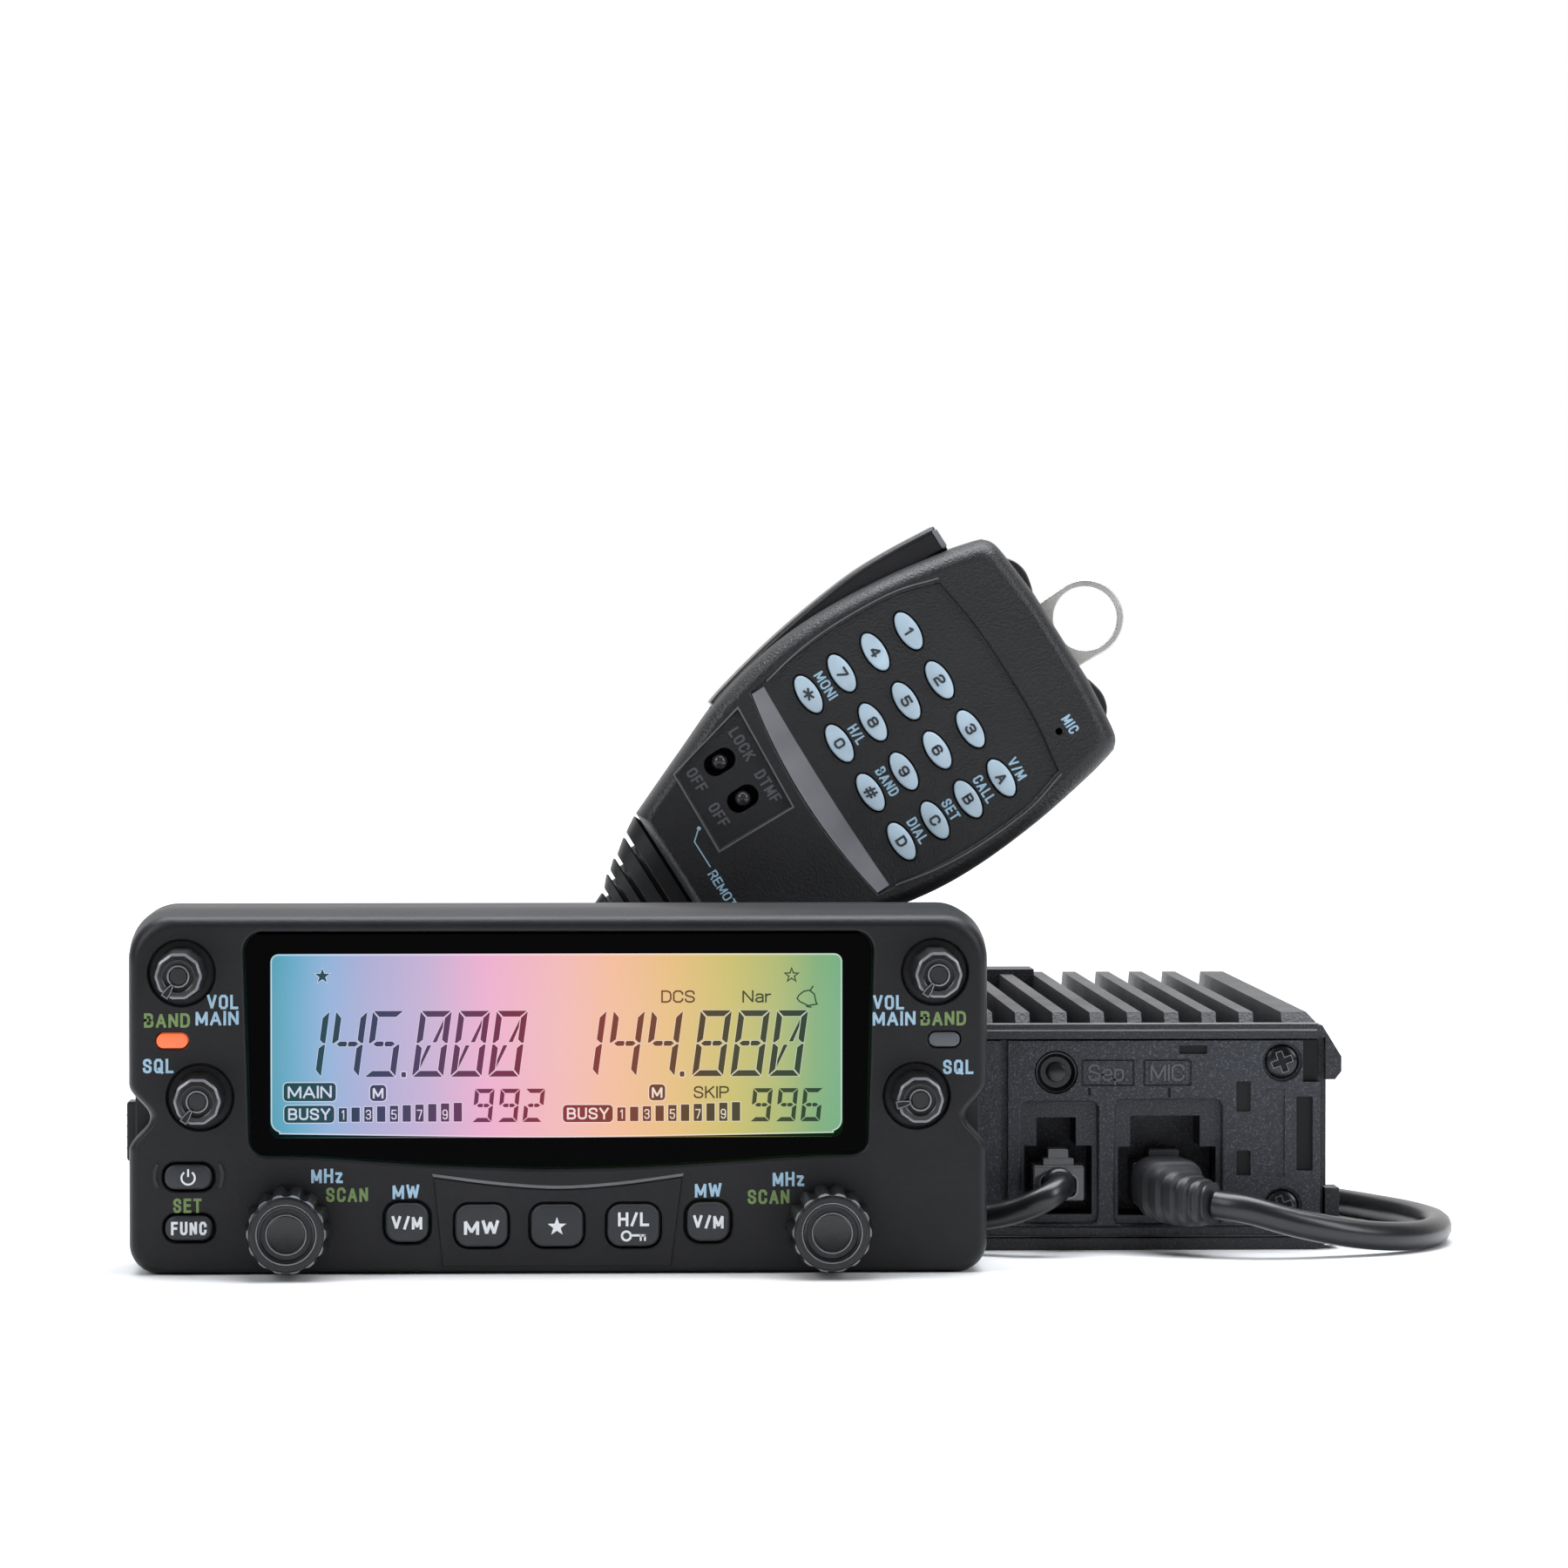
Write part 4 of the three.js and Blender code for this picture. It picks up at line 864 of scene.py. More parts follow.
def lay_cords():
    """The microphone cord in its plain, curly and bending parts, and the separation cord."""
    run_line, tail_line, sep_line = (centripetal(route, 8) for route in (MIC_RUN, MIC_TAIL, SEP_RUN))
    curl_line = helix(centripetal(MIC_CURL, 24), (CURL - MIC_CORD) / 2 - 0.05, CURL_PITCH, 18)
    run = cord_curve("mic_cord_plain", run_line, MIC_CORD)
    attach(run, "main_unit")
    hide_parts("mic_cord_run")
    curl = cord_curve("mic_cord_coil", curl_line, MIC_CORD)
    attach(curl, "main_unit")
    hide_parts("mic_cord_curl")
    tail = cord_mesh("mic_cord_end", tail_line, MIC_CORD)
    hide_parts("mic_cord_tail")
    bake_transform(tail)
    sep = cord_mesh("sep_cord_jacket", sep_line, SEP_CORD)
    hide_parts("sep_cord")
    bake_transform(sep)


aim_camera()
lay_cords()


# ---------------------------------------------------------------- control head

HALF_WIDTH = (case_high.x - case_low.x) / 2 / MM
HEAD_TOP = case_high.z / MM
HEAD_SPLIT = 18
HEAD_WALL = 2.4
NOTCH_LOW = 22.3
NOTCH_HIGH = 34.3
NOTCH_DEPTH = 3.8
LOWER_RADIUS = 5.5
UPPER_RADIUS = 8


def head_outline(inset, top, bottom):
    half = HALF_WIDTH - inset

    def notch(hand):
        points = []
        for i in range(25):
            up = i / 24 if hand > 0 else 1 - i / 24
            dip = NOTCH_DEPTH / 2 * (1 - math.cos(2 * math.pi * up))
            points.append((hand * (half - dip), NOTCH_LOW + up * (NOTCH_HIGH - NOTCH_LOW)))
        return points

    low = bottom + LOWER_RADIUS
    high = top - UPPER_RADIUS
    return (
        arc(half - LOWER_RADIUS, low, LOWER_RADIUS, -90, 0, 12)
        + notch(1)
        + arc(half - UPPER_RADIUS, high, UPPER_RADIUS, 0, 90, 14)
        + arc(UPPER_RADIUS - half, high, UPPER_RADIUS, 90, 180, 14)
        + notch(-1)
        + arc(LOWER_RADIUS - half, low, LOWER_RADIUS, 180, 270, 12)
    )


def head_shell(name, stations):
    return loft(name, [at_depth(head_outline(*sizes), y) for y, *sizes in stations], HEAD)


def window_outline():
    """Straight above with rounded corners, bowed down in the middle below."""
    low = [(-52.6, 21.4), (-44, 21.1), (-22, 19.6), (0, 18.9), (22, 19.6), (44, 21.1), (52.6, 21.4)]
    return (
        spline(low, 8)
        + arc(52.8, 24.4, 3, -90, 0, 6)
        + arc(53.3, 58.3, 3.5, 0, 90, 8)
        + arc(-53.3, 58.3, 3.5, 90, 180, 8)
        + arc(-52.8, 24.4, 3, 180, 270, 6)[:-1]
    )


def node_rect(node):
    """Centre and size of a head node in the head's own millimetres: x, z, width, height."""
    low, high = (HEAD.inverted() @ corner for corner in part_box(node))
    return (low.x + high.x) / 2, (low.z + high.z) / 2, high.x - low.x, high.z - low.z


BUTTON_RADII = {
    "power_button": 1.9, "func_button": 1.9, "vm_button_left": 2.4, "mw_button": 2.4, "star_button": 2.4,
    "hl_button": 2.4, "vm_button_right": 2.4,
}
# Each small knob with its pointer's angle.
SMALL_KNOBS = {"vol_knob_left": 236, "vol_knob_right": 236, "sql_knob_left": 236, "sql_knob_right": 192}
SHAFT_RADIUS = 3
SMALL_KNOB_TIP = -12
DIAL_FRONT = -14.5
HEAD_JACK = (-36.7, 22)
HEAD_SCREWS = [(-66, 9), (66, 9), (-66, 56), (66, 56)]


def head_place(joint):
    """Where a joint of the head has its axis, in the head's X and Z."""
    place = HEAD.inverted() @ Vector(JOINTS[joint]["pos_m"])
    return place.x, place.z


def opening(node, gap, radius, y0, y1, chamfer):
    """A cutter round a head node, wider than the node by a gap."""
    x, z, width, height = node_rect(node)
    return well(rounded(x, z, width + gap, height + gap, radius), y0, y1, HEAD, chamfer)


def front_case():
    stations = [(3 * (1 - c), 1.7 * (1 - s), 64.8 - 2.3 * (1 - s), 1.1 * (1 - s)) for s, c in quarter(8)]
    stations += [(6, 0, 65.6, 0), (10, 0, HEAD_TOP, 0), (HEAD_SPLIT - 0.3, 0, HEAD_TOP, 0)]
    stations += [(HEAD_SPLIT, 0.3, HEAD_TOP - 0.3, 0.2)]
    case = head_shell("head_front_shell", stations)
    cavity = head_shell("cutter", [
        (2.6, HEAD_WALL, 61.2, HEAD_WALL),
        (10, HEAD_WALL, HEAD_TOP - HEAD_WALL, HEAD_WALL),
        (HEAD_SPLIT + 1, HEAD_WALL, HEAD_TOP - HEAD_WALL, HEAD_WALL),
    ])
    cutters = [cavity, well(window_outline(), 0, 5, HEAD, 0.5)]
    for node, radius in BUTTON_RADII.items():
        cutters.append(opening(node, 0.7, radius + 0.35, 0, 5, 0.35))
    for node in SMALL_KNOBS:
        x, z = head_place(f"{node}_turn")
        cutters.append(well(circle(x, z, 6, 56), 0, 1.4, HEAD, 0.25, 0.6))
        cutters.append(block("cutter", circle(x, z, 3), 0.5, 5, HEAD))
    for hand in ("left", "right"):
        x, z = head_place(f"dial_{hand}_turn")
        cutters.append(block("cutter", circle(x, z, SHAFT_RADIUS + 0.5), -1, 5, HEAD))
        cutters.append(opening(f"band_lamp_{hand}", 0.4, 1.4, 0, 5, 0.25))
    carve(case, cutters)
    finish_piece(case, "control_head", "case", "head_front_case", 28)


def lower_panel():
    """A thin raised panel that holds the middle buttons, between two slanted seams, with a ledge above it in
    mid grey as a painted highlight.
    """
    top = spline([(-22.7, 17.5), (-11, 16.0), (0, 15.3), (11, 16.0), (22.3, 17.5)], 8)
    outline = top[::-1] + [(-21, 1.4), (20.2, 1.4)]
    panel = block("head_lower_panel", outline, -0.38, 0.2, HEAD, 0.34)
    middle_buttons = ("mw_button", "star_button", "hl_button")
    carve(panel, [opening(node, 0.7, 2.75, -0.38, 1, 0.3) for node in middle_buttons])
    finish_piece(panel, "control_head", "case")
    upper = spline([(-22.9, 18.1), (-11, 16.6), (0, 15.9), (11, 16.6), (22.5, 18.1)], 10)
    lower = spline([(-22.7, 17.6), (-11, 16.1), (0, 15.4), (11, 16.1), (22.3, 17.6)], 10)
    rows = [at_depth(upper, -0.02), at_depth(lower, -0.34), at_depth(lower, 0.2), at_depth(upper, 0.2)]
    finish_piece(strip("head_panel_ledge", rows, HEAD), "control_head", "painted_highlight_bevel")


def trim(name, *parts):
    """A small part of the head's case, in its finer plastic."""
    mark_group(name, parts, "control_head", "case_fine")


def rear_cover():
    stations = [(HEAD_SPLIT + 0.3, 0.3, HEAD_TOP - 0.3, 0.2), (HEAD_SPLIT + 0.6, 0, HEAD_TOP, 0)]
    stations += [(25.5, 0, HEAD_TOP, 0)]
    for s, c in quarter(7)[1:]:
        sink = 1 - c
        stations.append((25.5 + 4.5 * s, 3.5 * sink, HEAD_TOP - 3.5 * sink, 1.5 * sink))
    cover = head_shell("head_rear_shell", stations)
    cutters = [
        head_shell("cutter", [
            (HEAD_SPLIT - 1, HEAD_WALL, HEAD_TOP - HEAD_WALL, HEAD_WALL),
            (27, HEAD_WALL, HEAD_TOP - HEAD_WALL, HEAD_WALL),
        ]),
        block("cutter", circle(*HEAD_JACK, 5.6), 26, 32, HEAD),
    ]
    for n in range(9):
        cutters.append(block("cutter", rounded(12 + n * 5, 46, 2, 12, 1), 26, 32, HEAD))
    for place in sorted(HEAD_SCREWS):
        cutters.append(block("cutter", circle(*place, 2.9), 29, 32, HEAD))
    carve(cover, cutters)
    finish_piece(cover, "control_head", "case", "head_rear_cover", 28)
    boss = [(5.4, 23), (5.4, 29.2), (5.0, 29.6), (3.1, 29.6), (2.9, 29.3), (2.9, 25.4), (0.01, 25.4)]
    trim("head_jack_boss", turned("mark", boss, *HEAD_JACK, HEAD))
    for hand, side in (("left", -1), ("right", 1)):
        ends = sorted((side * (HALF_WIDTH - 5.5), side * (HALF_WIDTH - 0.2)))
        backing = cuboid("mark", *ends, 19.2, 26.4, NOTCH_LOW - 0.6, NOTCH_HIGH + 0.6, HEAD, 0.5)
        trim(f"head_notch_backing_{hand}", backing)
    tab = cuboid("mark", -HALF_WIDTH - 1.4, -HALF_WIDTH + 0.8, 20, 26, 19, 30, HEAD, 0.6)
    ribs = [cuboid("mark", -HALF_WIDTH - 1.5, -HALF_WIDTH, 21, 25, z, z + 0.8, HEAD, 0.3)
            for z in (21, 23, 25, 27)]
    trim("head_release_latch", tab, *ribs)
    for n, (x, z) in enumerate(HEAD_SCREWS):
        screw(f"head_rear_screw_{n + 1}", x, z, 29.6, 2.5, 1, "control_head", HEAD)


def screw(name, x, z, y, radius, facing, body, place):
    """A pan-head screw with a cross recess. Facing is 1 for the rear and -1 for the front."""
    profile = [(0.01, 0.0), (radius * 0.5, 0.06), (radius * 0.8, 0.25), (radius, 0.75), (radius, 1.1)]
    head = turned(name, [(r, y + facing * (-depth)) for r, depth in profile], x, z, place, 32)
    recess = cross(x, z, radius * 0.6, radius * 0.17, 20)
    front, back = sorted((y + facing, y - facing * 0.7))
    carve(head, [block("cutter", recess, front, back, place)])
    finish_piece(head, body, "screw")
    # A near-black block on the recess floor: painted shade.
    front, back = sorted((y - facing * 0.5, y - facing * 0.9))
    floor_block = block("mark", inward(recess, -0.05), front, back, place)
    mark_group(f"{name}_recess", [floor_block], body, "painted_shade_black")
    # A pale line round the recess: a painted highlight.
    painted_highlight = frame_line(inward(recess, -0.12), 0.12, y - facing * 0.06, place, 0.16)
    mark_group(f"{name}_recess_edge", [painted_highlight], body, "painted_highlight")


def cross(x, z, reach, half, turn):
    """Outline of a cross with four equal arms."""
    points = []
    for quarter in range(4):
        a = math.radians(turn + 90 * quarter)
        along = Vector((math.cos(a), math.sin(a)))
        across = Vector((-along.y, along.x))
        for u, v in ((half, -half), (reach, -half), (reach, half)):
            corner = along * u + across * v
            points.append((x + corner.x, z + corner.y))
    return points


def glass_outline():
    """The lit part of the glass. Its lower edge bows down a little in its middle."""
    return (
        spline([(-50.4, 25.3), (-26, 24.9), (-0.4, 24.6), (26, 24.9), (49.6, 25.3)], 8)
        + arc(49.1, 27.6, 2, -90, 0, 6)[1:]
        + arc(49.8, 56.4, 1.3, 0, 90, 5)
        + arc(-50.6, 56.4, 1.3, 90, 180, 5)
        + arc(-49.9, 27.6, 2, 180, 270, 6)[:-1]
    )


def display():
    mask = block("window_mask", inward(window_outline(), 0.4), 0.55, 2.4, HEAD, 0.12)
    carve(mask, [well(rounded(-0.4, 41.2, 103.2, 33.2, 1.6), 0.55, 4, HEAD, 0.06)])
    finish_piece(mask, "control_head", "gloss", "display_window")
    screen = block("lcd_glass", glass_outline(), 0.62, 7.5, HEAD, 0.05)
    finish_piece(screen, "control_head", "screen", "lcd_module")
    lcd_marks()


# The bars of each figure, by the usual letters of seven-segment figures. A "/" is the slash through a zero.
SEGMENTS = {
    "0": "abcdef/", "1": "bc", "2": "abged", "4": "fgbc", "5": "afgcd", "6": "afgecd", "8": "abcdefg",
    "9": "abcdfg",
}


def digit(kind, x, z, width, tall, lean, pen):
    """One figure of leaning bars with mitred ends, as outlines in X and Z."""
    gap = pen * 0.13
    half = tall / 2
    inner = pen + gap * 1.4
    top = [(gap, tall), (width - gap, tall), (width - inner, tall - pen), (inner, tall - pen)]
    upper = [(0, tall - gap), (0, half + gap), (pen * 0.35, half + gap), (pen, half + pen * 0.7),
             (pen, tall - inner)]
    centre = width / 2
    reach = pen * 0.42
    left_dash = [(pen * 0.75, half), (pen * 1.3, half + reach), (centre - gap * 1.6, half + reach),
                 (centre - gap * 0.4, half), (centre - gap * 1.6, half - reach), (pen * 1.3, half - reach)]
    slash = [(width - pen - gap, tall - inner - pen * 0.2), (width - pen - gap, tall - inner - pen * 1.6),
             (centre + pen * 0.75, half + pen * 0.25), (centre + pen * 0.05, half + pen * 0.25)]

    def mirrored(outline):
        return [(width - px, pz) for px, pz in outline]

    def flipped(outline):
        return [(px, tall - pz) for px, pz in outline]

    bars = {
        "a": [top], "d": [flipped(top)], "f": [upper], "e": [flipped(upper)], "b": [mirrored(upper)],
        "c": [flipped(mirrored(upper))], "g": [left_dash, mirrored(left_dash)],
        "/": [slash, flipped(mirrored(slash))],
    }
    return [
        [(x + px + lean * pz / tall, z + pz) for px, pz in outline] for letter in SEGMENTS[kind]
        for outline in bars[letter]
    ]


BIG_DIGITS = [
    ("1", -48.5), ("4", -41.7), ("5", -35.1), ("0", -26.5), ("0", -19.6), ("0", -12.8),
    ("1", 1.4), ("4", 8.3), ("4", 15.2), ("8", 24.0), ("8", 30.9), ("0", 37.8),
]
SMALL_DIGITS = [
    ("9", -15.7), ("9", -11.1), ("2", -6.6), ("9", 34.5), ("9", 39.1), ("6", 43.6),
]
INK_FACE = 0.6  # where the display's segments lie, just proud of its glass
DARK_THICK = 0.06
HALO_THICK = 0.03


def lcd_marks():
    """Digits, words, tags and signal bars. The big digits, the dots, the filled star, the tag boxes and the
    signal bars have a pale line round them.
    """
    dark, pale, light = [], [], []

    def mark(outline, halo=0.2):
        dark.append(flat_shape(outline, INK_FACE, HEAD, DARK_THICK))
        if halo:
            pale.append(flat_shape(inward(outline, -halo), INK_FACE, HEAD, HALO_THICK))

    for kind, x in BIG_DIGITS:
        for outline in digit(kind, x, 35.6, 5.6, 11.9, 1.6, 1.08):
            mark(outline, 0.08)
    for kind, x in SMALL_DIGITS:
        for outline in digit(kind, x, 27.4, 3.5, 6.0, 0.6, 0.76):
            mark(outline, 0)
    for x in (-28.0, 22.2):
        mark(rounded(x, 36.0, 0.85, 0.95, 0.2, 2), 0.16)
    mark(star(-42.6, 53.8, 1.4), 0.12)
    open_star = star(42, 53.8, 1.3)
    bell = [(43.3, 50.2), (44.2, 50.9), (45.2, 51.1), (46.1, 50.4), (46.4, 49.0), (46.6, 48.6), (45.0, 48.3),
            (43.4, 49.1), (43.0, 49.6), (43.3, 50.2)]
    handle, clapper = [(45.4, 51.1), (45.9, 51.9)], [(44.6, 48.2), (45.6, 48.0)]
    for points in (open_star + open_star[:1], bell, handle, clapper):
        dark.append(stroke(points, 0.24, INK_FACE, HEAD, DARK_THICK))
    for words, x, z, height, width in [
        ("DCS", 21.5, 50, 2.25, 6.1), ("Nar", 35.7, 50, 2.25, 5.2), ("SKIP", 27.5, 32.7, 2.2, 6.4),
    ]:
        dark.extend(lettering(words, x, z, width, height, 0.3, INK_FACE, HEAD, DARK_THICK))
    for words, x, z, width, height in [
        ("MAIN", -44.9, 32.9, 9.4, 3.3), ("BUSY", -45.0, 28.9, 9.0, 3.1), ("M", -32.6, 32.7, 2.9, 2.9),
        ("BUSY", 5.2, 28.9, 9.0, 3.1), ("M", 17.7, 32.7, 2.9, 2.9),
    ]:
        mark(rounded(x, z, width, height, 0.7, 4), 0.16)
        fill = 0.84 if len(words) > 1 else 0.66
        light.extend(lettering(words, x, z, width * fill, height * 0.68, 0.34, INK_FACE - 0.04, HEAD, 0.04))
    for start in (-39.7, 10.5):
        for n in range(10):
            tall = 2.5 + 0.9 * n / 9
            x = start + 0.75 + n * 2.3
            mark(rounded(x, 27.5 + tall / 2, 1.5, tall, 0.05, 1), 0.13)
            if n % 2 == 0:
                wide = 0.5 if n == 0 else 0.95
                light.extend(lettering(str(n + 1), x, 28.8, wide, 1.75, 0.2, INK_FACE - 0.04, HEAD, 0.04))
    pale.append(frame_line(glass_outline(), 0.22, INK_FACE, HEAD, HALO_THICK))
    mark_group("lcd_halo", pale, "control_head", "halo")
    mark_group("lcd_segments", dark, "control_head", "segment")
    mark_group("lcd_tags", light, "control_head", "halo")


def small_knob(node, pointer):
    """A ten-sided knob with a capped front, a pale rim that is a painted highlight, and a pointer at its
    angle.
    """
    x, z = head_place(f"{node}_turn")
    sides = 10
    tip = SMALL_KNOB_TIP

    def ten_sided(radius, y, round_off):
        ring = []
        for i in range(sides):
            middle_angle = 360 / sides * (i + 0.5)
            for step in (-2, -1, 0, 1, 2):
                corner = 360 / sides / 2 * 0.82
                angle = math.radians(middle_angle + step * corner / 2)
                flat = radius * math.cos(math.radians(360 / sides / 2))
                flat = flat / math.cos(math.radians(step * corner / 2)) - round_off
                ring.append((x + flat * math.cos(angle), z + flat * math.sin(angle)))
        return at_depth(ring, y)

    rings = [
        ten_sided(4.1, tip, 0.95), ten_sided(4.15, tip + 0.08, 0.55), ten_sided(4.2, tip + 0.35, 0.15),
        ten_sided(4.28, tip + 0.9, 0), ten_sided(4.55, -2, 0), ten_sided(4.8, 0.5, 0),
        ten_sided(4.7, 0.9, 0.2),
    ]
    grip = loft(f"{node}_grip", rings, HEAD)
    dish = [(3.1, tip - 1), (3.1, tip + 0.5), (2.7, tip + 0.9), (0.01, tip + 0.9)]
    carve(grip, [turned("cutter", dish, x, z, HEAD)])
    soften(grip, 0.14, 40)
    finish_piece(grip, node, "knob_grip", node, 30)
    profile = [(0.01, tip + 0.1), (1.45, tip + 0.1), (1.75, tip + 0.3), (1.85, tip + 1.2)]
    cap = turned(f"{node}_cap", profile, x, z, HEAD)
    finish_piece(cap, node, "knob")
    section = [(3.15, tip + 0.6), (3.15, tip - 0.02), (2.95, tip - 0.08), (2.75, tip + 0.05),
               (2.7, tip + 0.6)]
    finish_piece(hoop(f"{node}_ring", x, z, section, HEAD, 40), node, "knob")
    # The pale bevel and ring round the front are a painted highlight.
    painted_highlight_bevel = [ten_sided(4.26, tip + 0.62, -0.02), ten_sided(4.24, tip + 0.3, 0.0),
             ten_sided(4.18, tip + 0.06, 0.34), ten_sided(4.18, tip + 0.3, 0.5)]
    rims = [loft("mark", [*painted_highlight_bevel, painted_highlight_bevel[0]], HEAD, closed=False)]
    section = [(2.0, tip + 0.7), (2.0, tip + 0.02), (1.8, tip - 0.04), (1.68, tip + 0.2)]
    rims.append(hoop("mark", x, z, section, HEAD, 40))
    finish_piece(fuse(f"{node}_rims", rims), node, "painted_highlight", (), 20)
    angle = math.radians(pointer)
    along = Vector((math.cos(angle), math.sin(angle)))
    across = Vector((-along.y, along.x))
    wedge = [(1.7, 0.35), (3.2, 0.7), (4.5, 0.75)]
    outline = [along * r + across * h for r, h in wedge] + [along * r - across * h for r, h in wedge[::-1]]
    outline = [(x + p.x, z + p.y) for p in outline]
    # The pointer's near-black is painted shade, and the pale line round it is a painted highlight.
    pointer_piece = block(f"{node}_pointer", outline, tip - 0.55, tip + 0.8, HEAD, 0.15)
    finish_piece(pointer_piece, node, "painted_shade_black")
    edge = frame_line(inward(outline, 0.1), 0.16, tip - 0.56, HEAD, 0.06)
    mark_group(f"{node}_pointer_edge", [edge], node, "painted_highlight")
    stem = turned(f"{node}_stem", [(2.4, 0.6), (2.4, 8.0), (2.0, 8.4)], x, z, HEAD, 24)
    finish_piece(stem, node, "steel")


def dial(hand):
    """A large fluted dial with a dished front, two pale rings and a cap; the rings and the lip round the
    front are painted highlights.
    """
    node = f"dial_knob_{hand}"
    x, z = head_place(f"dial_{hand}_turn")
    lobes = 14
    front = DIAL_FRONT

    def fluted(radius, depth, y):
        ring = []
        for i in range(lobes * 12):
            angle = 2 * math.pi * i / (lobes * 12)
            wave = (0.5 - 0.5 * math.cos(angle * lobes)) ** 2.2
            reach = radius - depth * wave
            ring.append((x + reach * math.cos(angle), z + reach * math.sin(angle)))
        return at_depth(ring, y)

    rings = [fluted(6.2, 0, front), fluted(6.6, 0, front + 0.15), fluted(6.95, 0.3, front + 0.5),
             fluted(7.15, 0.7, front + 1.0), fluted(7.25, 0.9, front + 2), fluted(7.55, 1.0, -6),
             fluted(7.85, 1.1, -1.3), fluted(7.7, 1.0, -0.8), fluted(7.3, 0.6, -0.7)]
    grip = loft(f"{node}_grip", rings, HEAD)
    profile = [(5.5, front - 1), (5.5, front + 0.3), (5.1, front + 0.75), (0.01, front + 0.75)]
    dish = turned("cutter", profile, x, z, HEAD, 64)
    bore = block("cutter", circle(x, z, SHAFT_RADIUS + 0.3), front + 3, 1, HEAD)
    carve(grip, [dish, bore])
    finish_piece(grip, node, "knob_grip", node, 40)
    section = [(5.3, front + 0.8), (5.3, front + 0.2), (5.05, front + 0.02), (4.7, front + 0.12),
               (4.55, front + 0.8)]
    finish_piece(hoop(f"{node}_ring", x, z, section, HEAD, 64), node, "knob")
    # The pale lip and the two rings are a painted highlight.
    lip = [fluted(7.12, 0.5, front + 0.8), fluted(7.0, 0.3, front + 0.42), fluted(6.8, 0.0, front + 0.12),
           fluted(6.68, 0.0, front + 0.4)]
    rims = [loft("mark", [*lip, lip[0]], HEAD, closed=False)]
    for radius in (5.35, 3.55):
        section = [(0.1, 0.6), (0.1, -0.06), (-0.05, -0.12), (-0.14, 0.05)]
        rims.append(hoop("mark", x, z, [(radius + dx, front + dy) for dx, dy in section], HEAD, 64))
    finish_piece(fuse(f"{node}_rims", rims), node, "painted_highlight", (), 20)
    profile = [(0.01, front + 0.12), (2.9, front + 0.06), (3.3, front - 0.1), (3.6, front + 0.1),
               (3.7, front + 0.9)]
    finish_piece(turned(f"{node}_cap", profile, x, z, HEAD, 56), node, "knob")


def head_button(node, radius):
    x, z, width, height = node_rect(node)
    cap = block(f"{node}_cap", rounded(x, z, width, height, radius, 9), -1.1, 5, HEAD, 0.55, 0, 6, 0.12)
    finish_piece(cap, node, "button", node)
    face = -1.24
    marks = []
    if node == "power_button":
        marks.append(stroke(arc(x, z - 0.1, 1.2, 125, 415, 24), 0.34, face, HEAD))
        marks.append(stroke([(x, z + 0.1), (x, z + 1.5)], 0.34, face, HEAD))
    elif node == "func_button":
        marks.extend(lettering("FUNC", x, z, 6.4, 2.4, 0.46, face, HEAD))
    elif node == "star_button":
        marks.append(flat_shape(star(x, z - 0.2, 1.75), face, HEAD))
    elif node == "hl_button":
        marks.extend(lettering("H/L", x, z + 1.1, 5.6, 2.5, 0.48, face, HEAD))
        marks.append(frame_line(circle(x - 1.3, z - 1.9, 1.0, 24), 0.4, face, HEAD))
        marks.append(stroke([(x - 0.4, z - 1.8), (x + 2.2, z - 1.8)], 0.4, face, HEAD))
        for tooth in (1.3, 2.05):
            marks.append(stroke([(x + tooth, z - 1.7), (x + tooth, z - 2.8)], 0.36, face, HEAD))
    elif node == "mw_button":
        marks.extend(lettering("MW", x, z - 0.3, 6.3, 2.6, 0.56, face, HEAD))
    else:
        marks.extend(lettering("V/M", x, z, 5.5, 2.4, 0.48, face, HEAD))
    mark_group(f"{node}_caption", marks, node, "ink_white")


# The head's captions by their ink: the word, its middle in X and Z, and its width.
HEAD_WORDS = {
    "ink_blue": [
        ("VOL", -60.5, 49.2, 5.7), ("MAIN", -61.5, 46.3, 7.9), ("SQL", -72.1, 37.7, 5.6),
        ("MHz", -41.8, 17.8, 5.8), ("MW", -27.6, 14.9, 4.9), ("VOL", 59.5, 48.9, 5.7),
        ("MAIN", 60.5, 46, 7.9), ("SQL", 72.1, 37.2, 5.6), ("MHz", 41.4, 17, 5.8), ("MW", 26.9, 15, 4.9),
    ],
    "ink_green": [
        ("BAND", -70.5, 45.9, 8.4), ("SET", -66.9, 12.5, 5.2), ("SCAN", -38.2, 14.4, 7.7),
        ("BAND", 69.4, 46, 8.4), ("SCAN", 37.8, 13.8, 7.7),
    ],
}


def head_markings():
    for look, words in HEAD_WORDS.items():
        marks = [
            part for text, x, z, width in words
            for part in lettering(text, x, z, width * 0.98, 2.6, 0.47, -0.02, HEAD)
        ]
        mark_group(f"head_words_{look[4:]}", marks, "control_head", look)
    # The two arcs that hug the power button.
    for hand, x, start in (("left", -66.7 - 1.9, 150), ("right", -66.7 + 1.9, -30)):
        bracket = stroke(arc(x, 17.95, 4.2, start, start + 60, 12), 0.62, -0.02, HEAD, 0.9)
        mark_group(f"head_power_bracket_{hand}", [bracket], "control_head", "knob")


def lamp(hand, look):
    x, z, width, height = node_rect(f"band_lamp_{hand}")
    outline = rounded(x, z, width, height, 1.25)
    glass = block(f"band_lamp_{hand}_lens", outline, -0.12, 5, HEAD, 0.3, 0, 5, 0.05)
    finish_piece(glass, "control_head", look, f"band_lamp_{hand}")


front_case()
lower_panel()
rear_cover()
display()
for name, pointer_angle in SMALL_KNOBS.items():
    small_knob(name, pointer_angle)
for word in ("left", "right"):
    dial(word)
for name, corner_radius in BUTTON_RADII.items():
    head_button(name, corner_radius)
head_markings()
lamp("left", "lamp_red")
lamp("right", "lamp_grey")


# ---------------------------------------------------------------- main unit


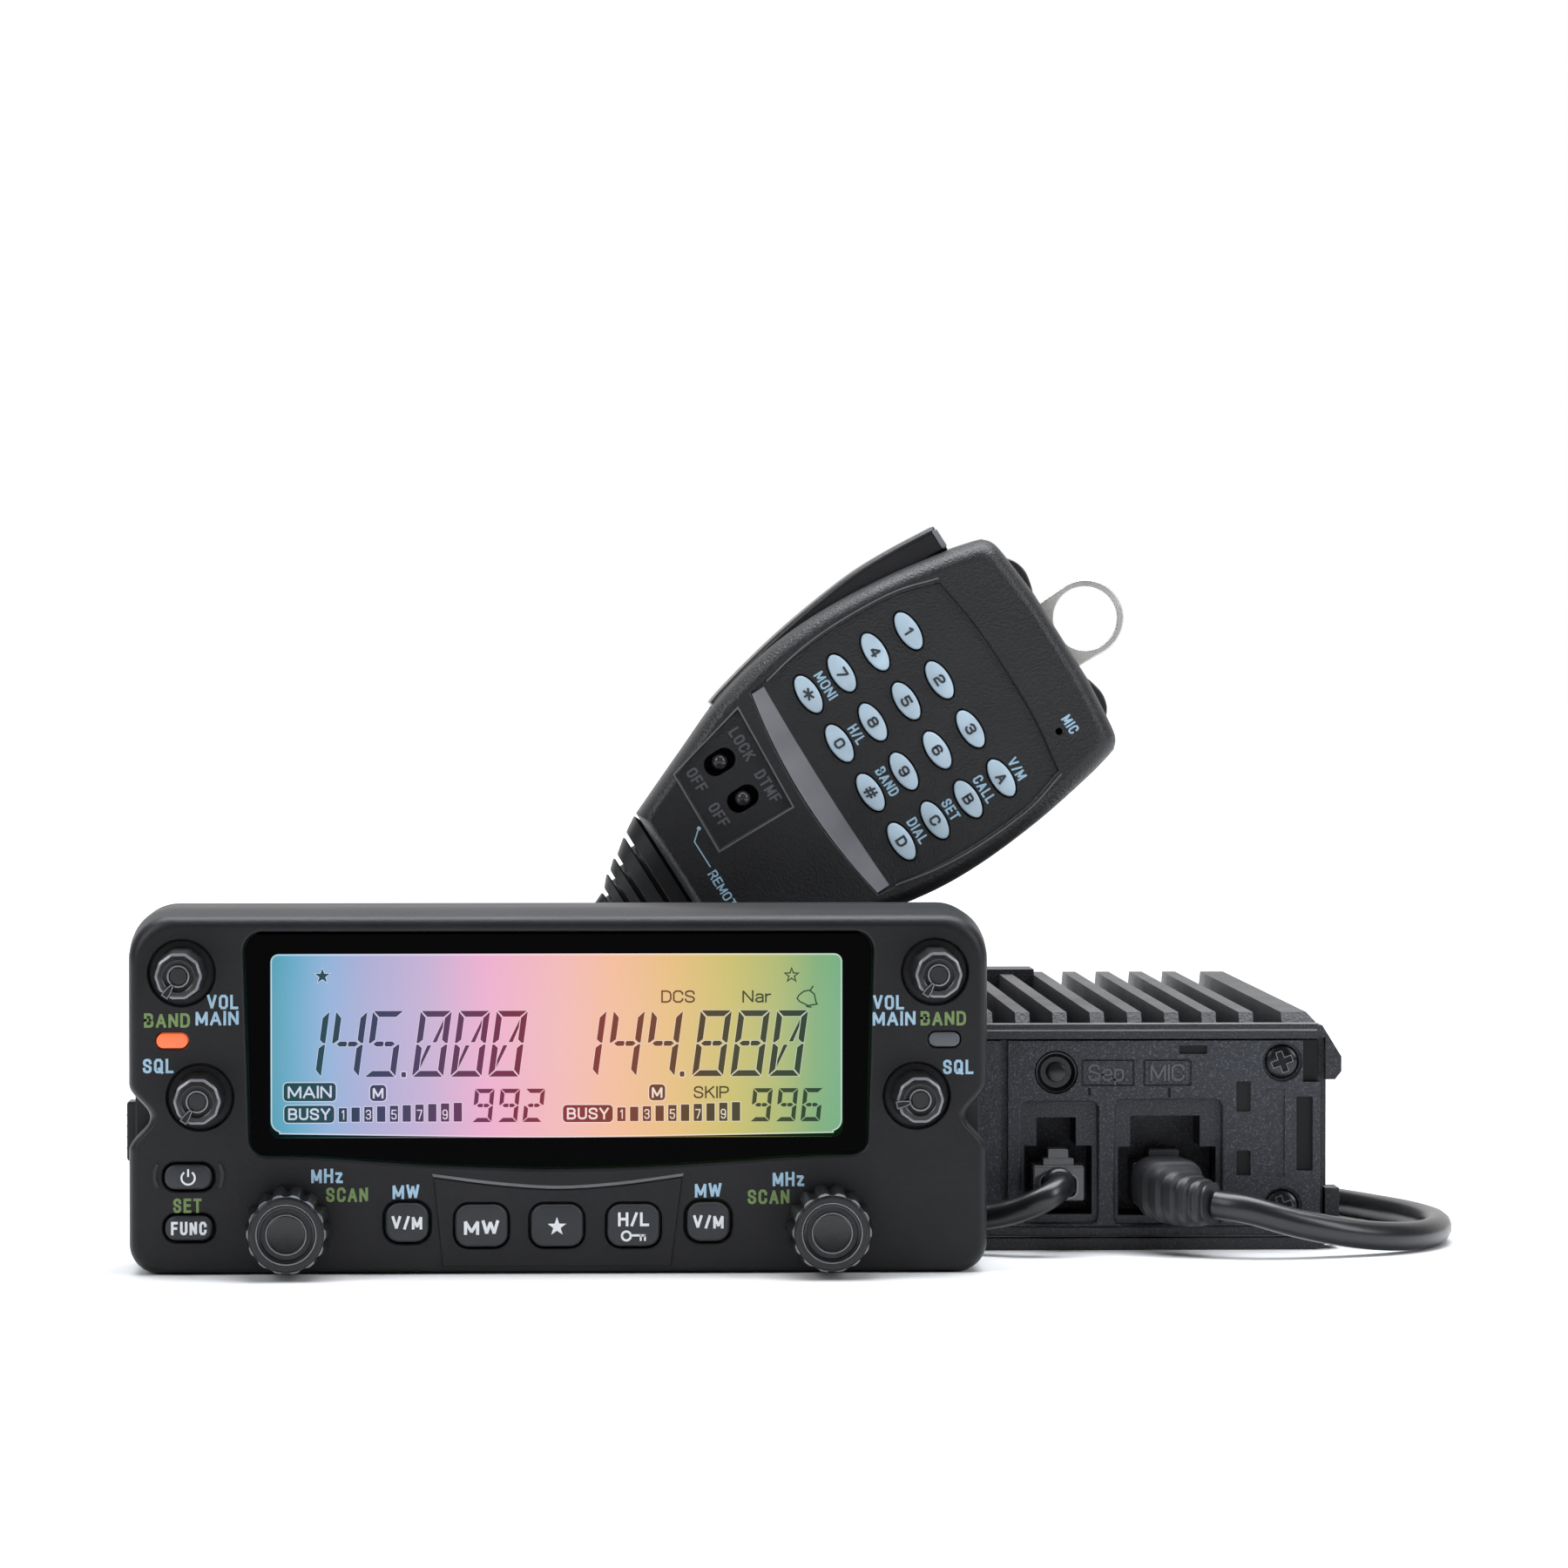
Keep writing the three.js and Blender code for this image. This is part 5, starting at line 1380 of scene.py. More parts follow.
def fan_guard():
    section = [(0.6, 0), (0.3, -0.55), (-0.3, -0.55), (-0.6, 0), (-0.3, 0.55), (0.3, 0.55)]
    parts = [hoop("mark", 0, FAN_Z, [(radius + dx, 81.4 + dy) for dx, dy in section], UNIT, 56)
             for radius in (4, 8.4, 12.8, 17.2)]
    for n in range(4):
        a = math.radians(45 + 90 * n)
        ends = [(math.cos(a) * r, FAN_Z + math.sin(a) * r) for r in (3.5, 18.6)]
        parts.append(stroke(ends, 1.1, 81.9, UNIT, 0.8))
    finish_piece(fuse("fan_guard", parts), "main_unit", "screw")


def fan():
    hub = [(8.5, 70), (8.5, 77), (8, 77.9), (6, 78.4), (0.01, 78.4)]
    blades = [turned("mark", hub, 0, FAN_Z, UNIT)]
    for n in range(7):
        angle = 2 * math.pi * n / 7
        rings = []
        for i in range(9):
            radius = 7.8 + i * 1.2
            twist = math.radians(48 - i * 2.2)
            ring = []
            for t in range(12):
                swing = 2 * math.pi * t / 12
                chord = 3.9 * math.cos(swing)
                thick = 0.5 * math.sin(swing) + 0.06 * chord ** 2 / 4
                y = 74.2 + chord * math.sin(twist) * 0.9 + thick * math.cos(twist) * 0.6
                sweep = angle + (chord * math.cos(twist) + i * 0.35) / max(radius, 6)
                ring.append((radius * math.cos(sweep), y, FAN_Z + radius * math.sin(sweep)))
            rings.append(ring)
        blades.append(loft("mark", rings, UNIT))
    finish_piece(fuse("fan_blades", blades), "fan_rotor", "knob", "fan_rotor")


def antenna_socket():
    x, z = ANTENNA
    profile = [(0.01, 85.6), (3.4, 85.6), (3.4, 94.4), (4.4, 94.5)]
    for n in range(12):
        y = 94.2 - n * 0.7
        profile += [(4.95, y), (4.6, y - 0.35)]
    profile += [(5.0, 85.4), (5.0, 78.6), (0.01, 78.6)]
    barrel = turned("mark", profile, x, z, UNIT)
    corners = [math.radians(a) for a in range(0, 360, 60)]
    hexagon = [(x + 8 * math.cos(a), z + 8 * math.sin(a)) for a in corners]
    body = [barrel, block("mark", hexagon, 82.8, 84.8, UNIT, 0.2, 0.2)]
    pin = turned("antenna_pin", [(1.1, 85), (1.1, 90), (0.8, 90.4)], x, z, UNIT, 24)
    finish_piece(fuse("antenna_connector_body", body), "main_unit", "steel", "antenna_connector")
    finish_piece(pin, "main_unit", "gold")


FAN_Z = 22.6
ANTENNA = (47, 22)
MIC_PLUG = (40.3, 12.4)
SEP_PLUG = (20.2, 12.8)
# Each raised label: its word, the middle of its frame, the frame's width and the word's width.
LABELS = {"sep_label": ("Sep.", 29.7, 10.0, 7.4), "mic_label": ("MIC", 40.9, 9.1, 6.4)}
LABEL_Z = 33.25
LABEL_HEIGHT = 5.1
BUTTON_MARK = (20, 33.3)  # the round moulded mark


def label_outline(x, width):
    return rounded(x, LABEL_Z, width, LABEL_HEIGHT, 0.4, 2)


def groove(outline, width, depth):
    """A cutter for a thin line sunk into the front panel along a closed outline."""
    inner = inward(outline, width)
    front = PANEL_FACE - 1
    back = PANEL_FACE + depth
    rings = [at_depth(outline, front), at_depth(inner, front), at_depth(inner, back), at_depth(outline, back)]
    return loft("cutter", [*rings, rings[0]], UNIT, closed=False)


POCKETS = [(13.4, 27.8, 5, 27.8), (31, 51.1, 4.8, 28.1)]  # x0, x1, z0, z1 of each jack's recess
PANEL_SCREWS = [(62.5, 35.2), (62.5, 8), (-62.5, 35.2), (-62.5, 8)]
# Small recesses: x, z, width, height, depth, and whether the floor gets a near-black block as painted shade.
PANEL_RECESSES = [
    (55.2, 28.7, 2.6, 5.6, 0.6, True), (55.2, 16.2, 2.6, 4.6, 0.9, True),
    (61.2, 21.8, 3.4, 16.6, 0.35, False), (41.2, 29.5, 0.5, 1.8, 0.4, True),
    (26.2, 29.7, 0.5, 1.4, 0.4, True), (45.7, 37.5, 5.2, 1.5, 0.8, True), (66.7, 21.7, 3, 13.9, 1.3, True),
]


def pocket_openings(x0, x1, z0, z1):
    """The plug's mouth and the latch slot above it, as x0, x1, z0, z1."""
    return [(x0 + 0.7, x1 - 1, z0 + 1.6, z0 + 14.5), (x0 + 3, x1 - 4, z0 + 13.9, z1 - 3)]


def rectangle(x0, x1, z0, z1, radius=0.15):
    return rounded((x0 + x1) / 2, (z0 + z1) / 2, x1 - x0, z1 - z0, radius, 2)


def along_unit(name, profile, half, look):
    """A bar across the front of the unit, from its profile in Y and Z."""
    rings = [[(side * half, y, z) for y, z in profile] for side in (-1, 1)]
    return finish_piece(loft(name, rings, UNIT), "main_unit", look, (), 20)


def front_panel(face, back):
    """The panel with its moulded details, and the two jacks' rooms behind it."""
    panel = block("mark", rectangle(-69.6, 69.6, 4.4, 39.3, 0.6), face, back, UNIT, 0.15)
    cutters = [well(circle(*BUTTON_MARK, 4.0, 48), face, face + 1.3, UNIT, 0.15)]
    for place in PANEL_SCREWS:
        cutters.append(well(circle(*place, 3.7, 48), face, face + 1.1, UNIT, 0.25))
    for _, x, width, _ in LABELS.values():
        cutters.append(groove(label_outline(x, width), 0.4, 0.5))
    shadows = []
    for x, z, width, height, depth, dark in PANEL_RECESSES:
        cutters.append(well(rounded(x, z, width, height, 0.2, 2), face, face + depth, UNIT, 0.1))
        if dark:
            floor_outline = rounded(x, z, width - 0.15, height - 0.15, 0.1, 2)
            shadows.append(block("mark", floor_outline, face + depth - 0.06, face + depth + 0.2, UNIT))
    # The near-black blocks on the recess floors are painted shade.
    mark_group("panel_recess_floors", shadows, "main_unit", "painted_shade_black")
    # The cut-away upper corners and the upright line to the left of the jacks.
    cuts = [(66.4, 71, 31.4, 41, 3.4), (-71, -66.4, 31.4, 41, 3.4), (9.6, 11, 3, 41, 1.2)]
    for x0, x1, z0, z1, depth in cuts:
        cutters.append(block("cutter", rectangle(x0, x1, z0, z1, 0.1), face - 1, face + depth, UNIT))
    for pocket in POCKETS:
        cutters.append(well(rectangle(*pocket, 1.2), face, face + 1.1, UNIT, 0.35, 0.15))
        for mouth in pocket_openings(*pocket):
            cutters.append(block("cutter", rectangle(*mouth), face - 1, back + 1, UNIT))
    carve(panel, cutters)
    rooms = []
    for x0, x1, z0, z1 in POCKETS:
        room = block("mark", rectangle(x0 - 1.3, x1 + 1.3, z0 - 0.3, z1 + 1.3), back, face + 15, UNIT)
        mouths = pocket_openings(x0, x1, z0, z1)
        inside = [block("cutter", rectangle(*mouth), back - 1, face + 13.6, UNIT) for mouth in mouths]
        rooms.append(carve(room, inside))
    shell = fuse("front_panel_shell", [panel, *rooms])
    finish_piece(shell, "main_unit", "panel", "front_panel", 28)


def unit_front():
    """The front panel, the raised labels, and the sill and lip edge below and above it. The labels are
    lighter grey and the sill's two lines and the lip edge are pale strips, all painted highlights.
    """
    face = PANEL_FACE
    back = face + 2.4
    front_panel(face, back)
    for name, (words, x, _, width) in LABELS.items():
        # The raised letters are lighter grey: a painted highlight.
        letters = lettering(words, x, LABEL_Z, width, 3.1, 0.38, face - 0.02, UNIT, 0.3)
        mark_group(name, letters, "main_unit", "emboss_highlight")
    profile = [(0.01, -82.35), (1.5, -82.35), (1.75, -82.2), (1.85, -81.9), (1.9, -81.0), (2.9, -81.0),
               (3.55, -82.05), (3.8, -82.1), (3.92, -81.9), (3.92, -80.8)]
    mark = turned("panel_round_mark", profile, *BUTTON_MARK, UNIT, 56)
    finish_piece(mark, "main_unit", "knob")
    # Near-black blocks behind the cut-away corners: painted shade.
    backing = [cuboid("mark", hand * 66.2, hand * 69.4, back - 0.6, back + 0.1, 31.2, 39.2, UNIT, 0.1)
               for hand in (-1, 1)]
    mark_group("panel_corner_pockets", backing, "main_unit", "painted_shade_black")
    along_unit("front_sill", [(-81.3, 4.3), (-81.7, 4.05), (-81.5, 2.6), (-81.9, 2.35), (-79.8, 2.35),
                              (-79.8, 4.3)], 69.6, "paint")
    # Two thin grey lines along the sill: painted highlights.
    for n, (z, y) in enumerate(((4.12, -81.72), (2.42, -81.9))):
        line = [(y, z), (y - 0.12, z + 0.08), (y, z + 0.16), (y + 0.3, z + 0.16), (y + 0.3, z)]
        along_unit(f"sill_line_{n + 1}", line, 69.4, "painted_highlight_bevel")
    # A pale strip along the lip's top edge: a painted highlight.
    along_unit("lip_edge", [(-82.62, 41.1), (-82.5, 41.35), (-81.75, 42.4), (-81.4, 42.5), (-80.8, 42.44),
                            (-80.8, 41.9), (-82.3, 40.9)], 69, "edge")


def ribbed_boot():
    """The microphone plug's boot: rings on an axis that turns to the right, with raised ribs."""
    x, z = MIC_PLUG
    stations = [(0, 2, 0, 0, 6.1, 5.1), (0, -2, -0.2, 0, 6.1, 5.1), (1.6, -8, -1.2, 26, 5.3, 4.8),
                (4.2, -12.2, -2.2, 48, 4.1, 4.1), (7.5, -14.7, -2.6, 62, 3.3, 3.3)]
    rings = []
    for i, (dx, dy, dz, turn, half, tall) in enumerate(spline(stations, 10)):
        rib = 0.6 if i > 14 and i % 5 in (0, 1, 2) else 0.0
        a = math.radians(turn)
        ring = []
        for px, pz in rounded(0, 0, 2 * (half + rib), 2 * (tall + rib), min(tall, half) * 0.75, 5):
            ring.append((x + dx + px * math.cos(a), UNIT_FRONT + dy + px * math.sin(a), z + dz + pz))
        rings.append(ring)
    boot = loft("mark", rings, UNIT)
    body = cuboid("mark", x - 5.8, x + 5.8, -81.4, -69.6, z - 3.9, z + 3.9, UNIT, 0.4)
    latch = cuboid("mark", x - 2.9, x + 2.9, -80.9, -72.6, z + 3.6, z + 6.3, UNIT, 0.4)
    plug = fuse("mic_plug_boot", [boot, body, latch])
    finish_piece(plug, "main_unit", "boot", "mic_plug", 24)


def sep_plug():
    """A clear modular plug. Its cord end is a dark mouth in a pale frame that is a painted highlight."""
    x, z = SEP_PLUG
    shell = cuboid("mark", x - 4.8, x + 4.8, -86, -70, z - 3.3, z + 3.3, UNIT, 0.5)
    mouth = rounded(x, z - 0.5, 6.4, 3.9, 1.2)
    carve(shell, [well(mouth, -86, -82.5, UNIT, 0.3)])
    latch = cuboid("mark", x - 1.95, x + 1.95, -84.4, -73.6, z + 3.05, z + 6.3, UNIT, 0.3)
    step = cuboid("mark", x - 2.9, x + 2.9, -84.9, -80, z + 3.1, z + 4.6, UNIT, 0.25)
    plug = fuse("sep_plug_shell", [shell, latch, step])
    finish_piece(plug, "main_unit", "clear", "sep_plug")
    # The pale frame round the mouth is a painted highlight.
    painted_highlight = frame_line(inward(mouth, -0.45), 0.3, -86.02, UNIT, 0.12)
    mark_group("sep_plug_mouth_rim", [painted_highlight], "main_unit", "painted_highlight")
    collar = turned("sep_plug_collar", [(2.5, -88.7), (2.9, -88.2), (3.0, -85.6), (3.0, -82.6)], x, z, UNIT)
    finish_piece(collar, "main_unit", "cord")
    contacts = [cuboid("mark", x - 3.1 + n, x - 2.6 + n, -72.6, -69.9, z - 3.4, z - 1.2, UNIT, 0.1)
                for n in range(6)]
    finish_piece(fuse("sep_plug_contacts", contacts), "main_unit", "gold")


def main_unit():
    refined("heat_sink_chassis", 0.35)
    refined("bottom_cover", 0.25)
    unit_front()
    for n, (x, z) in enumerate(PANEL_SCREWS):
        screw(f"panel_screw_{n + 1}", x, z, PANEL_FACE + 0.1, 3.2, -1, "main_unit", UNIT)
    fan_guard()
    fan()
    antenna_socket()
    ribbed_boot()
    sep_plug()


main_unit()


# ---------------------------------------------------------------- microphone

MIC_FACE = -15
MIC_BACK = 14.8
MIC_WALL = 2.4
MIC_BOTTOM = -52
MIC_CROWN = 36.2
KEY_FLOOR = -14.2
MIC_FLANK = [(14.9, -52), (20.8, -38), (25.6, -26), (28.4, -13), (29.1, -1), (28.1, 13), (26, 26), (24.6, 32)]


def mic_outline(inset):
    flank = spline(MIC_FLANK, 6) + spline([(24.2, 33.2), (22.6, 34.6), (19.6, 35.3), (10, MIC_CROWN)], 4)
    right = []
    for x, z in flank:
        drop = inset * z / MIC_CROWN if z > 0 else 0
        right.append([x - inset, z - drop])
    floor = MIC_BOTTOM + inset * 0.6
    for i, point in enumerate(right):
        point[1] = max(point[1], floor + i * 0.15)
    return [tuple(p) for p in right] + [(-x, z) for x, z in right[::-1]]


def mic_shell(name, stations):
    return loft(name, [at_depth(mic_outline(inset), y) for y, inset in stations], MIC)


def keypad_outline():
    upper = spline([(21.5, 21.4), (10.8, 22.9), (0, 23.2), (-10.8, 22.9), (-21.5, 21.4)], 6)
    right = spline([(23.0, -20.7), (24.3, -9.5), (24.8, 1), (24.0, 12.5), (21.5, 21.4)], 6)
    left = [(-x, z) for x, z in right[::-1]]
    lower = spline([(-23.0, -20.7), (-11, -22.5), (0, -23.1), (11, -22.5), (23.0, -20.7)], 6)
    return right + upper[1:] + left[1:] + lower[1:-1]


SWITCH_PANEL = [(-0.2, -25.8), (-0.6, -42.2), (-17.6, -41.6), (-21.8, -24.6)]
SWITCH_X = (-15, -6.6)
SWITCH_Z = -33
MIC_SCREWS = [(-16, 26), (16, 26), (-11, -44), (11, -44)]


def mic_room():
    """Room in both halves for the talk lever, the top buttons and the hanger plate."""
    places = [(-40, -21.9, -8.4, 8.4, -28.9, 27.3), (-19.4, -8.6, -4.9, 4.9, 30, 42),
              (8.6, 19.4, -4.9, 4.9, 30, 42), (-7.5, 7.5, -1.4, 1.4, 31.5, 42)]
    return [cuboid("cutter", *place, MIC, 0.3) for place in places]


def mic_key_places():
    for down, row in enumerate(KEY_ROWS):
        for across, word in enumerate(row.split()):
            yield f"key_{word}", word, (across - 1.5) * 11.25, (1.5 - down) * 7.65


def mic_front():
    stations = [(MIC_FACE + 6 * (1 - c), 3.2 * (1 - s)) for s, c in quarter(8)]
    stations += [(-0.6, 0), (0, 0.25)]
    case = mic_shell("mic_front_shell", stations)
    cavity = mic_shell("cutter", [(MIC_FACE + MIC_WALL + 0.6, 3.2), (MIC_FACE + 6, MIC_WALL), (1, MIC_WALL)])
    cutters = [cavity, well(keypad_outline(), MIC_FACE, KEY_FLOOR, MIC, 0.4, 0.2),
               well(inward(SWITCH_PANEL, 0.2), MIC_FACE, KEY_FLOOR, MIC, 0.25, 0.2),
               block("cutter", circle(15.2, 25.7, 0.7), MIC_FACE - 1, MIC_FACE + 4, MIC), *mic_room()]
    for _, _, x, z in mic_key_places():
        cutters.append(well(oval(x, z, 8.7, 4.5), KEY_FLOOR, KEY_FLOOR + 4, MIC, 0.15))
    for x in SWITCH_X:
        slot = rounded(x, SWITCH_Z, 4.4, 6.4, 2.1)
        cutters.append(block("cutter", slot, KEY_FLOOR - 1, KEY_FLOOR + 4, MIC))
    carve(case, cutters)
    finish_piece(case, "microphone", "grain", "mic_front_case", 28)


def mic_rear():
    # The first two rings are a lip that closes the seam, so that no light comes through the case.
    stations = [(0, 0.6), (0.3, 0.6), (0.3, 0.25), (0.9, 0.05), (8.8, 0.3)]
    stations += [(8.8 + 6 * s, 0.3 + 3.9 * (1 - c)) for s, c in quarter(7)[1:]]
    case = mic_shell("mic_rear_shell", stations)
    cavity = [(-0.7, MIC_WALL), (MIC_BACK - 5, MIC_WALL + 0.4), (MIC_BACK - MIC_WALL, MIC_WALL + 1.6)]
    cutters = [mic_shell("cutter", cavity), *mic_room()]
    for n in range(6):
        slot = rounded(0, 12 - n * 3.2, 22, 1.3, 0.6)
        cutters.append(block("cutter", slot, MIC_BACK - 1, MIC_BACK + 1, MIC))
    for place in MIC_SCREWS:
        cutters.append(block("cutter", circle(*place, 2.6), MIC_BACK - 1.2, MIC_BACK + 1, MIC))
    carve(case, cutters)
    finish_piece(case, "microphone", "grain", "mic_rear_case", 28)
    for n, (x, z) in enumerate(MIC_SCREWS):
        screw(f"mic_rear_screw_{n + 1}", x, z, MIC_BACK - 0.3, 2.2, 1, "microphone", MIC)


def keypad_slope():
    """The sloped band between the keypad's floor and the lower face, pale grey as painted light."""
    steps = 24
    half = 22.75
    rows = []
    for y, upper, part in [
        (KEY_FLOOR + 0.3, -17.9, 0), (KEY_FLOOR - 0.02, -18.0, 0), (MIC_FACE + 0.12, -18.0, 0.9),
        (MIC_FACE - 0.02, -18.0, 0.98), (MIC_FACE + 0.3, -18.0, 1.0), (KEY_FLOOR + 0.3, -18.0, 1.0),
    ]:
        row = []
        for i in range(steps + 1):
            x = half * (2 * i / steps - 1)
            bow = 1 - (x / half) ** 2
            start = upper - 0.5 * bow
            end = -20.75 - 2.35 * bow
            row.append((x, y, start + (end - start) * part))
        rows.append(row)
    finish_piece(strip("mic_keypad_slope", rows, MIC), "microphone", "painted_light_grey")


CAPTIONS = {"star": "*", "hash": "#", "a": "A", "b": "B", "c": "C", "d": "D"}


def mic_key(node, word, x, z):
    cap = block(f"{node}_cap", oval(x, z, 8.1, 3.9), -15.1, -11.5, MIC, 0.4, 0, 5, 0.18)
    finish_piece(cap, node, "key", node)
    caption = CAPTIONS.get(word, word)
    width = 1.0 if word == "1" else 2.3 if caption in "*#" else 1.8
    height = 2.4 if caption in "*#" else 2.15
    mark_group(f"{node}_caption", lettering(caption, x, z, width, height, 0.44, -15.25, MIC, 0.2), node,
               "ink_dark")


MIC_WORDS = [
    ("MIC", 15.2, 28.3, 3.6), ("V/M", 17, 15, 4.4), ("CALL", 16.9, 7.5, 5.6), ("SET", 16.8, -0.1, 4.2),
    ("DIAL", 16.8, -7.7, 5.2), ("MONI", -16.5, -7.7, 5.8), ("H/L", -5.3, -7.7, 3.8), ("BAND", 5.6, -7.6, 6.0),
]


def mic_markings():
    words = []
    for text, x, z, width in MIC_WORDS:
        face = MIC_FACE if z > 24 else KEY_FLOOR
        words.extend(lettering(text, x, z, width, 2.1, 0.36, face - 0.02, MIC))
    words.extend(lettering("REMOTE", 6.8, -45.7, 9.4, 1.9, 0.3, MIC_FACE - 0.02, MIC))
    words.append(stroke([(-6.3, -43.4), (-4.6, -45.4), (1.2, -45.4)], 0.24, MIC_FACE - 0.02, MIC, 0.1))
    words.append(flat_shape(circle(-6.3, -43.3, 0.4, 16), MIC_FACE - 0.02, MIC, 0.1))
    mark_group("mic_words", words, "microphone", "ink_blue")
    # The raised switch words are lighter grey: a painted highlight.
    raised = [
        part for text, x, z, width in [("LOCK", -15.6, -27.5, 6.8), ("DTMF", -6.0, -27.6, 6.8),
                                       ("OFF", -14.4, -38.6, 4.8), ("OFF", -6.4, -38.6, 4.8)]
        for part in lettering(text, x, z, width, 2.3, 0.42, KEY_FLOOR, MIC, 0.36)
    ]
    mark_group("mic_switch_words", raised, "microphone", "emboss_highlight")
    # Mid grey lines round the switch panel and along the keypad's sides: painted highlights.
    edges = [frame_line(inward(SWITCH_PANEL, -0.35), 0.3, MIC_FACE, MIC, 0.3)]
    side = [(23.4, -17.0), (25.1, -8.0), (25.6, 1.4), (24.8, 13.0), (22.4, 21.8)]
    for hand in (-1, 1):
        line = [(hand * x, z) for x, z in side]
        edges.append(stroke(spline(line, 8), 0.28, MIC_FACE, MIC, 0.25))
    mark_group("mic_keypad_edges", edges, "microphone", "painted_highlight_bevel")


def talk_lever():
    outer = spline([(-31.2, 26.8), (-31.9, 18), (-32.1, 10), (-31.5, 2), (-30.2, -8), (-28.5, -17),
                    (-26.6, -25), (-25.6, -28.3)], 6)
    inner = spline([(-23.4, -28.3), (-24.4, -20), (-25.6, -8), (-25.9, 10), (-25.9, 26.8)], 6)
    lever = block("ptt_lever_pad", outer + inner, -8, 8, MIC, 1.2, 1.2, 5)
    finish_piece(lever, "ptt_lever", "case_fine", "ptt_lever")
    # A light grey bar on the lever's upper end: a painted highlight.
    end = cuboid("ptt_lever_end", -30.6, -26.6, -8.1, -6.6, 25.9, 27.0, MIC, 0.3)
    finish_piece(end, "ptt_lever", "painted_light_grey")


def top_button(node, hand):
    cap = [(hand * 19, 32), (hand * 19, 35.2)]
    bow = spline([(19, 35.2), (16.8, 36.8), (14.2, 37.45), (11.4, 37.0), (9, 36.2)], 5)
    cap += [(hand * x, z) for x, z in bow[1:]] + [(hand * 9, 32)]
    button = block(f"{node}_cap", cap, -4.5, 4.5, MIC, 0.5, 0.5)
    ribs = []
    for n in range(5):
        x = hand * (11.2 + n * 1.3)
        top = 37.15 - 0.14 * (n - 2) ** 2
        ribs.append(cuboid("mark", x - 0.3, x + 0.3, -3.6, 3.6, top - 0.8, top + 0.25, MIC, 0.22))
    finish_piece(fuse(f"{node}_body", [button, *ribs]), node, "knob", node)


def hanger():
    shape = [(7.1, 33.2), *arc(0, 42.7, 7.5, 0, 180, 40), (-7.1, 33.2)]
    plate = block("hanger_plate", shape, -1, 1, MIC, 0.3, 0.3)
    carve(plate, [block("cutter", circle(0, 42.7, 6.3, 56), -2, 2, MIC)])
    soften(plate, 0.2, 50, 3)
    finish_piece(plate, "microphone", "steel", "hanger_ring")


def slide_switch(node, x):
    profile = [(0.01, MIC_FACE + 0.05), (0.7, MIC_FACE + 0.14), (1.2, MIC_FACE + 0.5), (1.5, MIC_FACE + 1.1),
               (1.5, MIC_FACE + 4.4)]
    knob = turned(f"{node}_ball", profile, x, SWITCH_Z, MIC, 32)
    finish_piece(knob, node, "ball", node)


def strain_relief():
    # Each rib's start and end down the axis, and its half width there.
    ribs = [(52.4, 55.6, 14.6, 13), (56.4, 59.4, 12.2, 10.3), (60.2, 62.2, 9.8, 8.5), (63, 65, 7.9, 6.3),
            (65.8, 70, 5.3, 3.7)]

    def ring(down, half):
        thick = 3.4 + (half - 3.7) * 0.55
        points = []
        for i in range(40):
            a = 2 * math.pi * i / 40
            px = half * math.copysign(abs(math.cos(a)) ** 0.7, math.cos(a))
            py = thick * math.copysign(abs(math.sin(a)) ** 0.7, math.sin(a))
            points.append((px, py, -down))
        return points

    rings = [ring(50.2, 11.5), ring(51.2, 11.5)]
    for start, end, wide, narrow in ribs:
        if start > ribs[0][0]:
            rings += [ring(start - 0.8, wide * 0.8), ring(start - 0.02, wide * 0.8)]
        rings += [ring(start, wide - 0.35), ring(start + 0.25, wide)]
        rings += [ring(end - 0.3, narrow), ring(end, narrow - 0.35)]
        if end < 70:
            rings.append(ring(end + 0.02, wide * 0.76))
    relief = loft("mic_bend_relief", rings, MIC)
    finish_piece(relief, "microphone", "rubber", "mic_strain_relief", 35)


mic_front()
mic_rear()
keypad_slope()
for key_node, key_word, key_x, key_z in mic_key_places():
    mic_key(key_node, key_word, key_x, key_z)
mic_markings()
talk_lever()
top_button("mic_up_button", 1)
top_button("mic_down_button", -1)
hanger()
for switch_node, switch_x in zip(("lock_switch", "dtmf_switch"), SWITCH_X):
    slide_switch(switch_node, switch_x)
strain_relief()


# ---------------------------------------------------------------- carried-over CAD nodes

for node_name, look_name in {
    "head_circuit_board": "board", "main_circuit_board": "board", "loudspeaker": "knob",
    "dial_shaft_left": "steel", "dial_shaft_right": "steel",
}.items():
    node_mesh = frame["nodes"][node_name].data
    node_mesh.materials.clear()
    node_mesh.materials.append(LOOKS[look_name])


# ---------------------------------------------------------------- floor and light


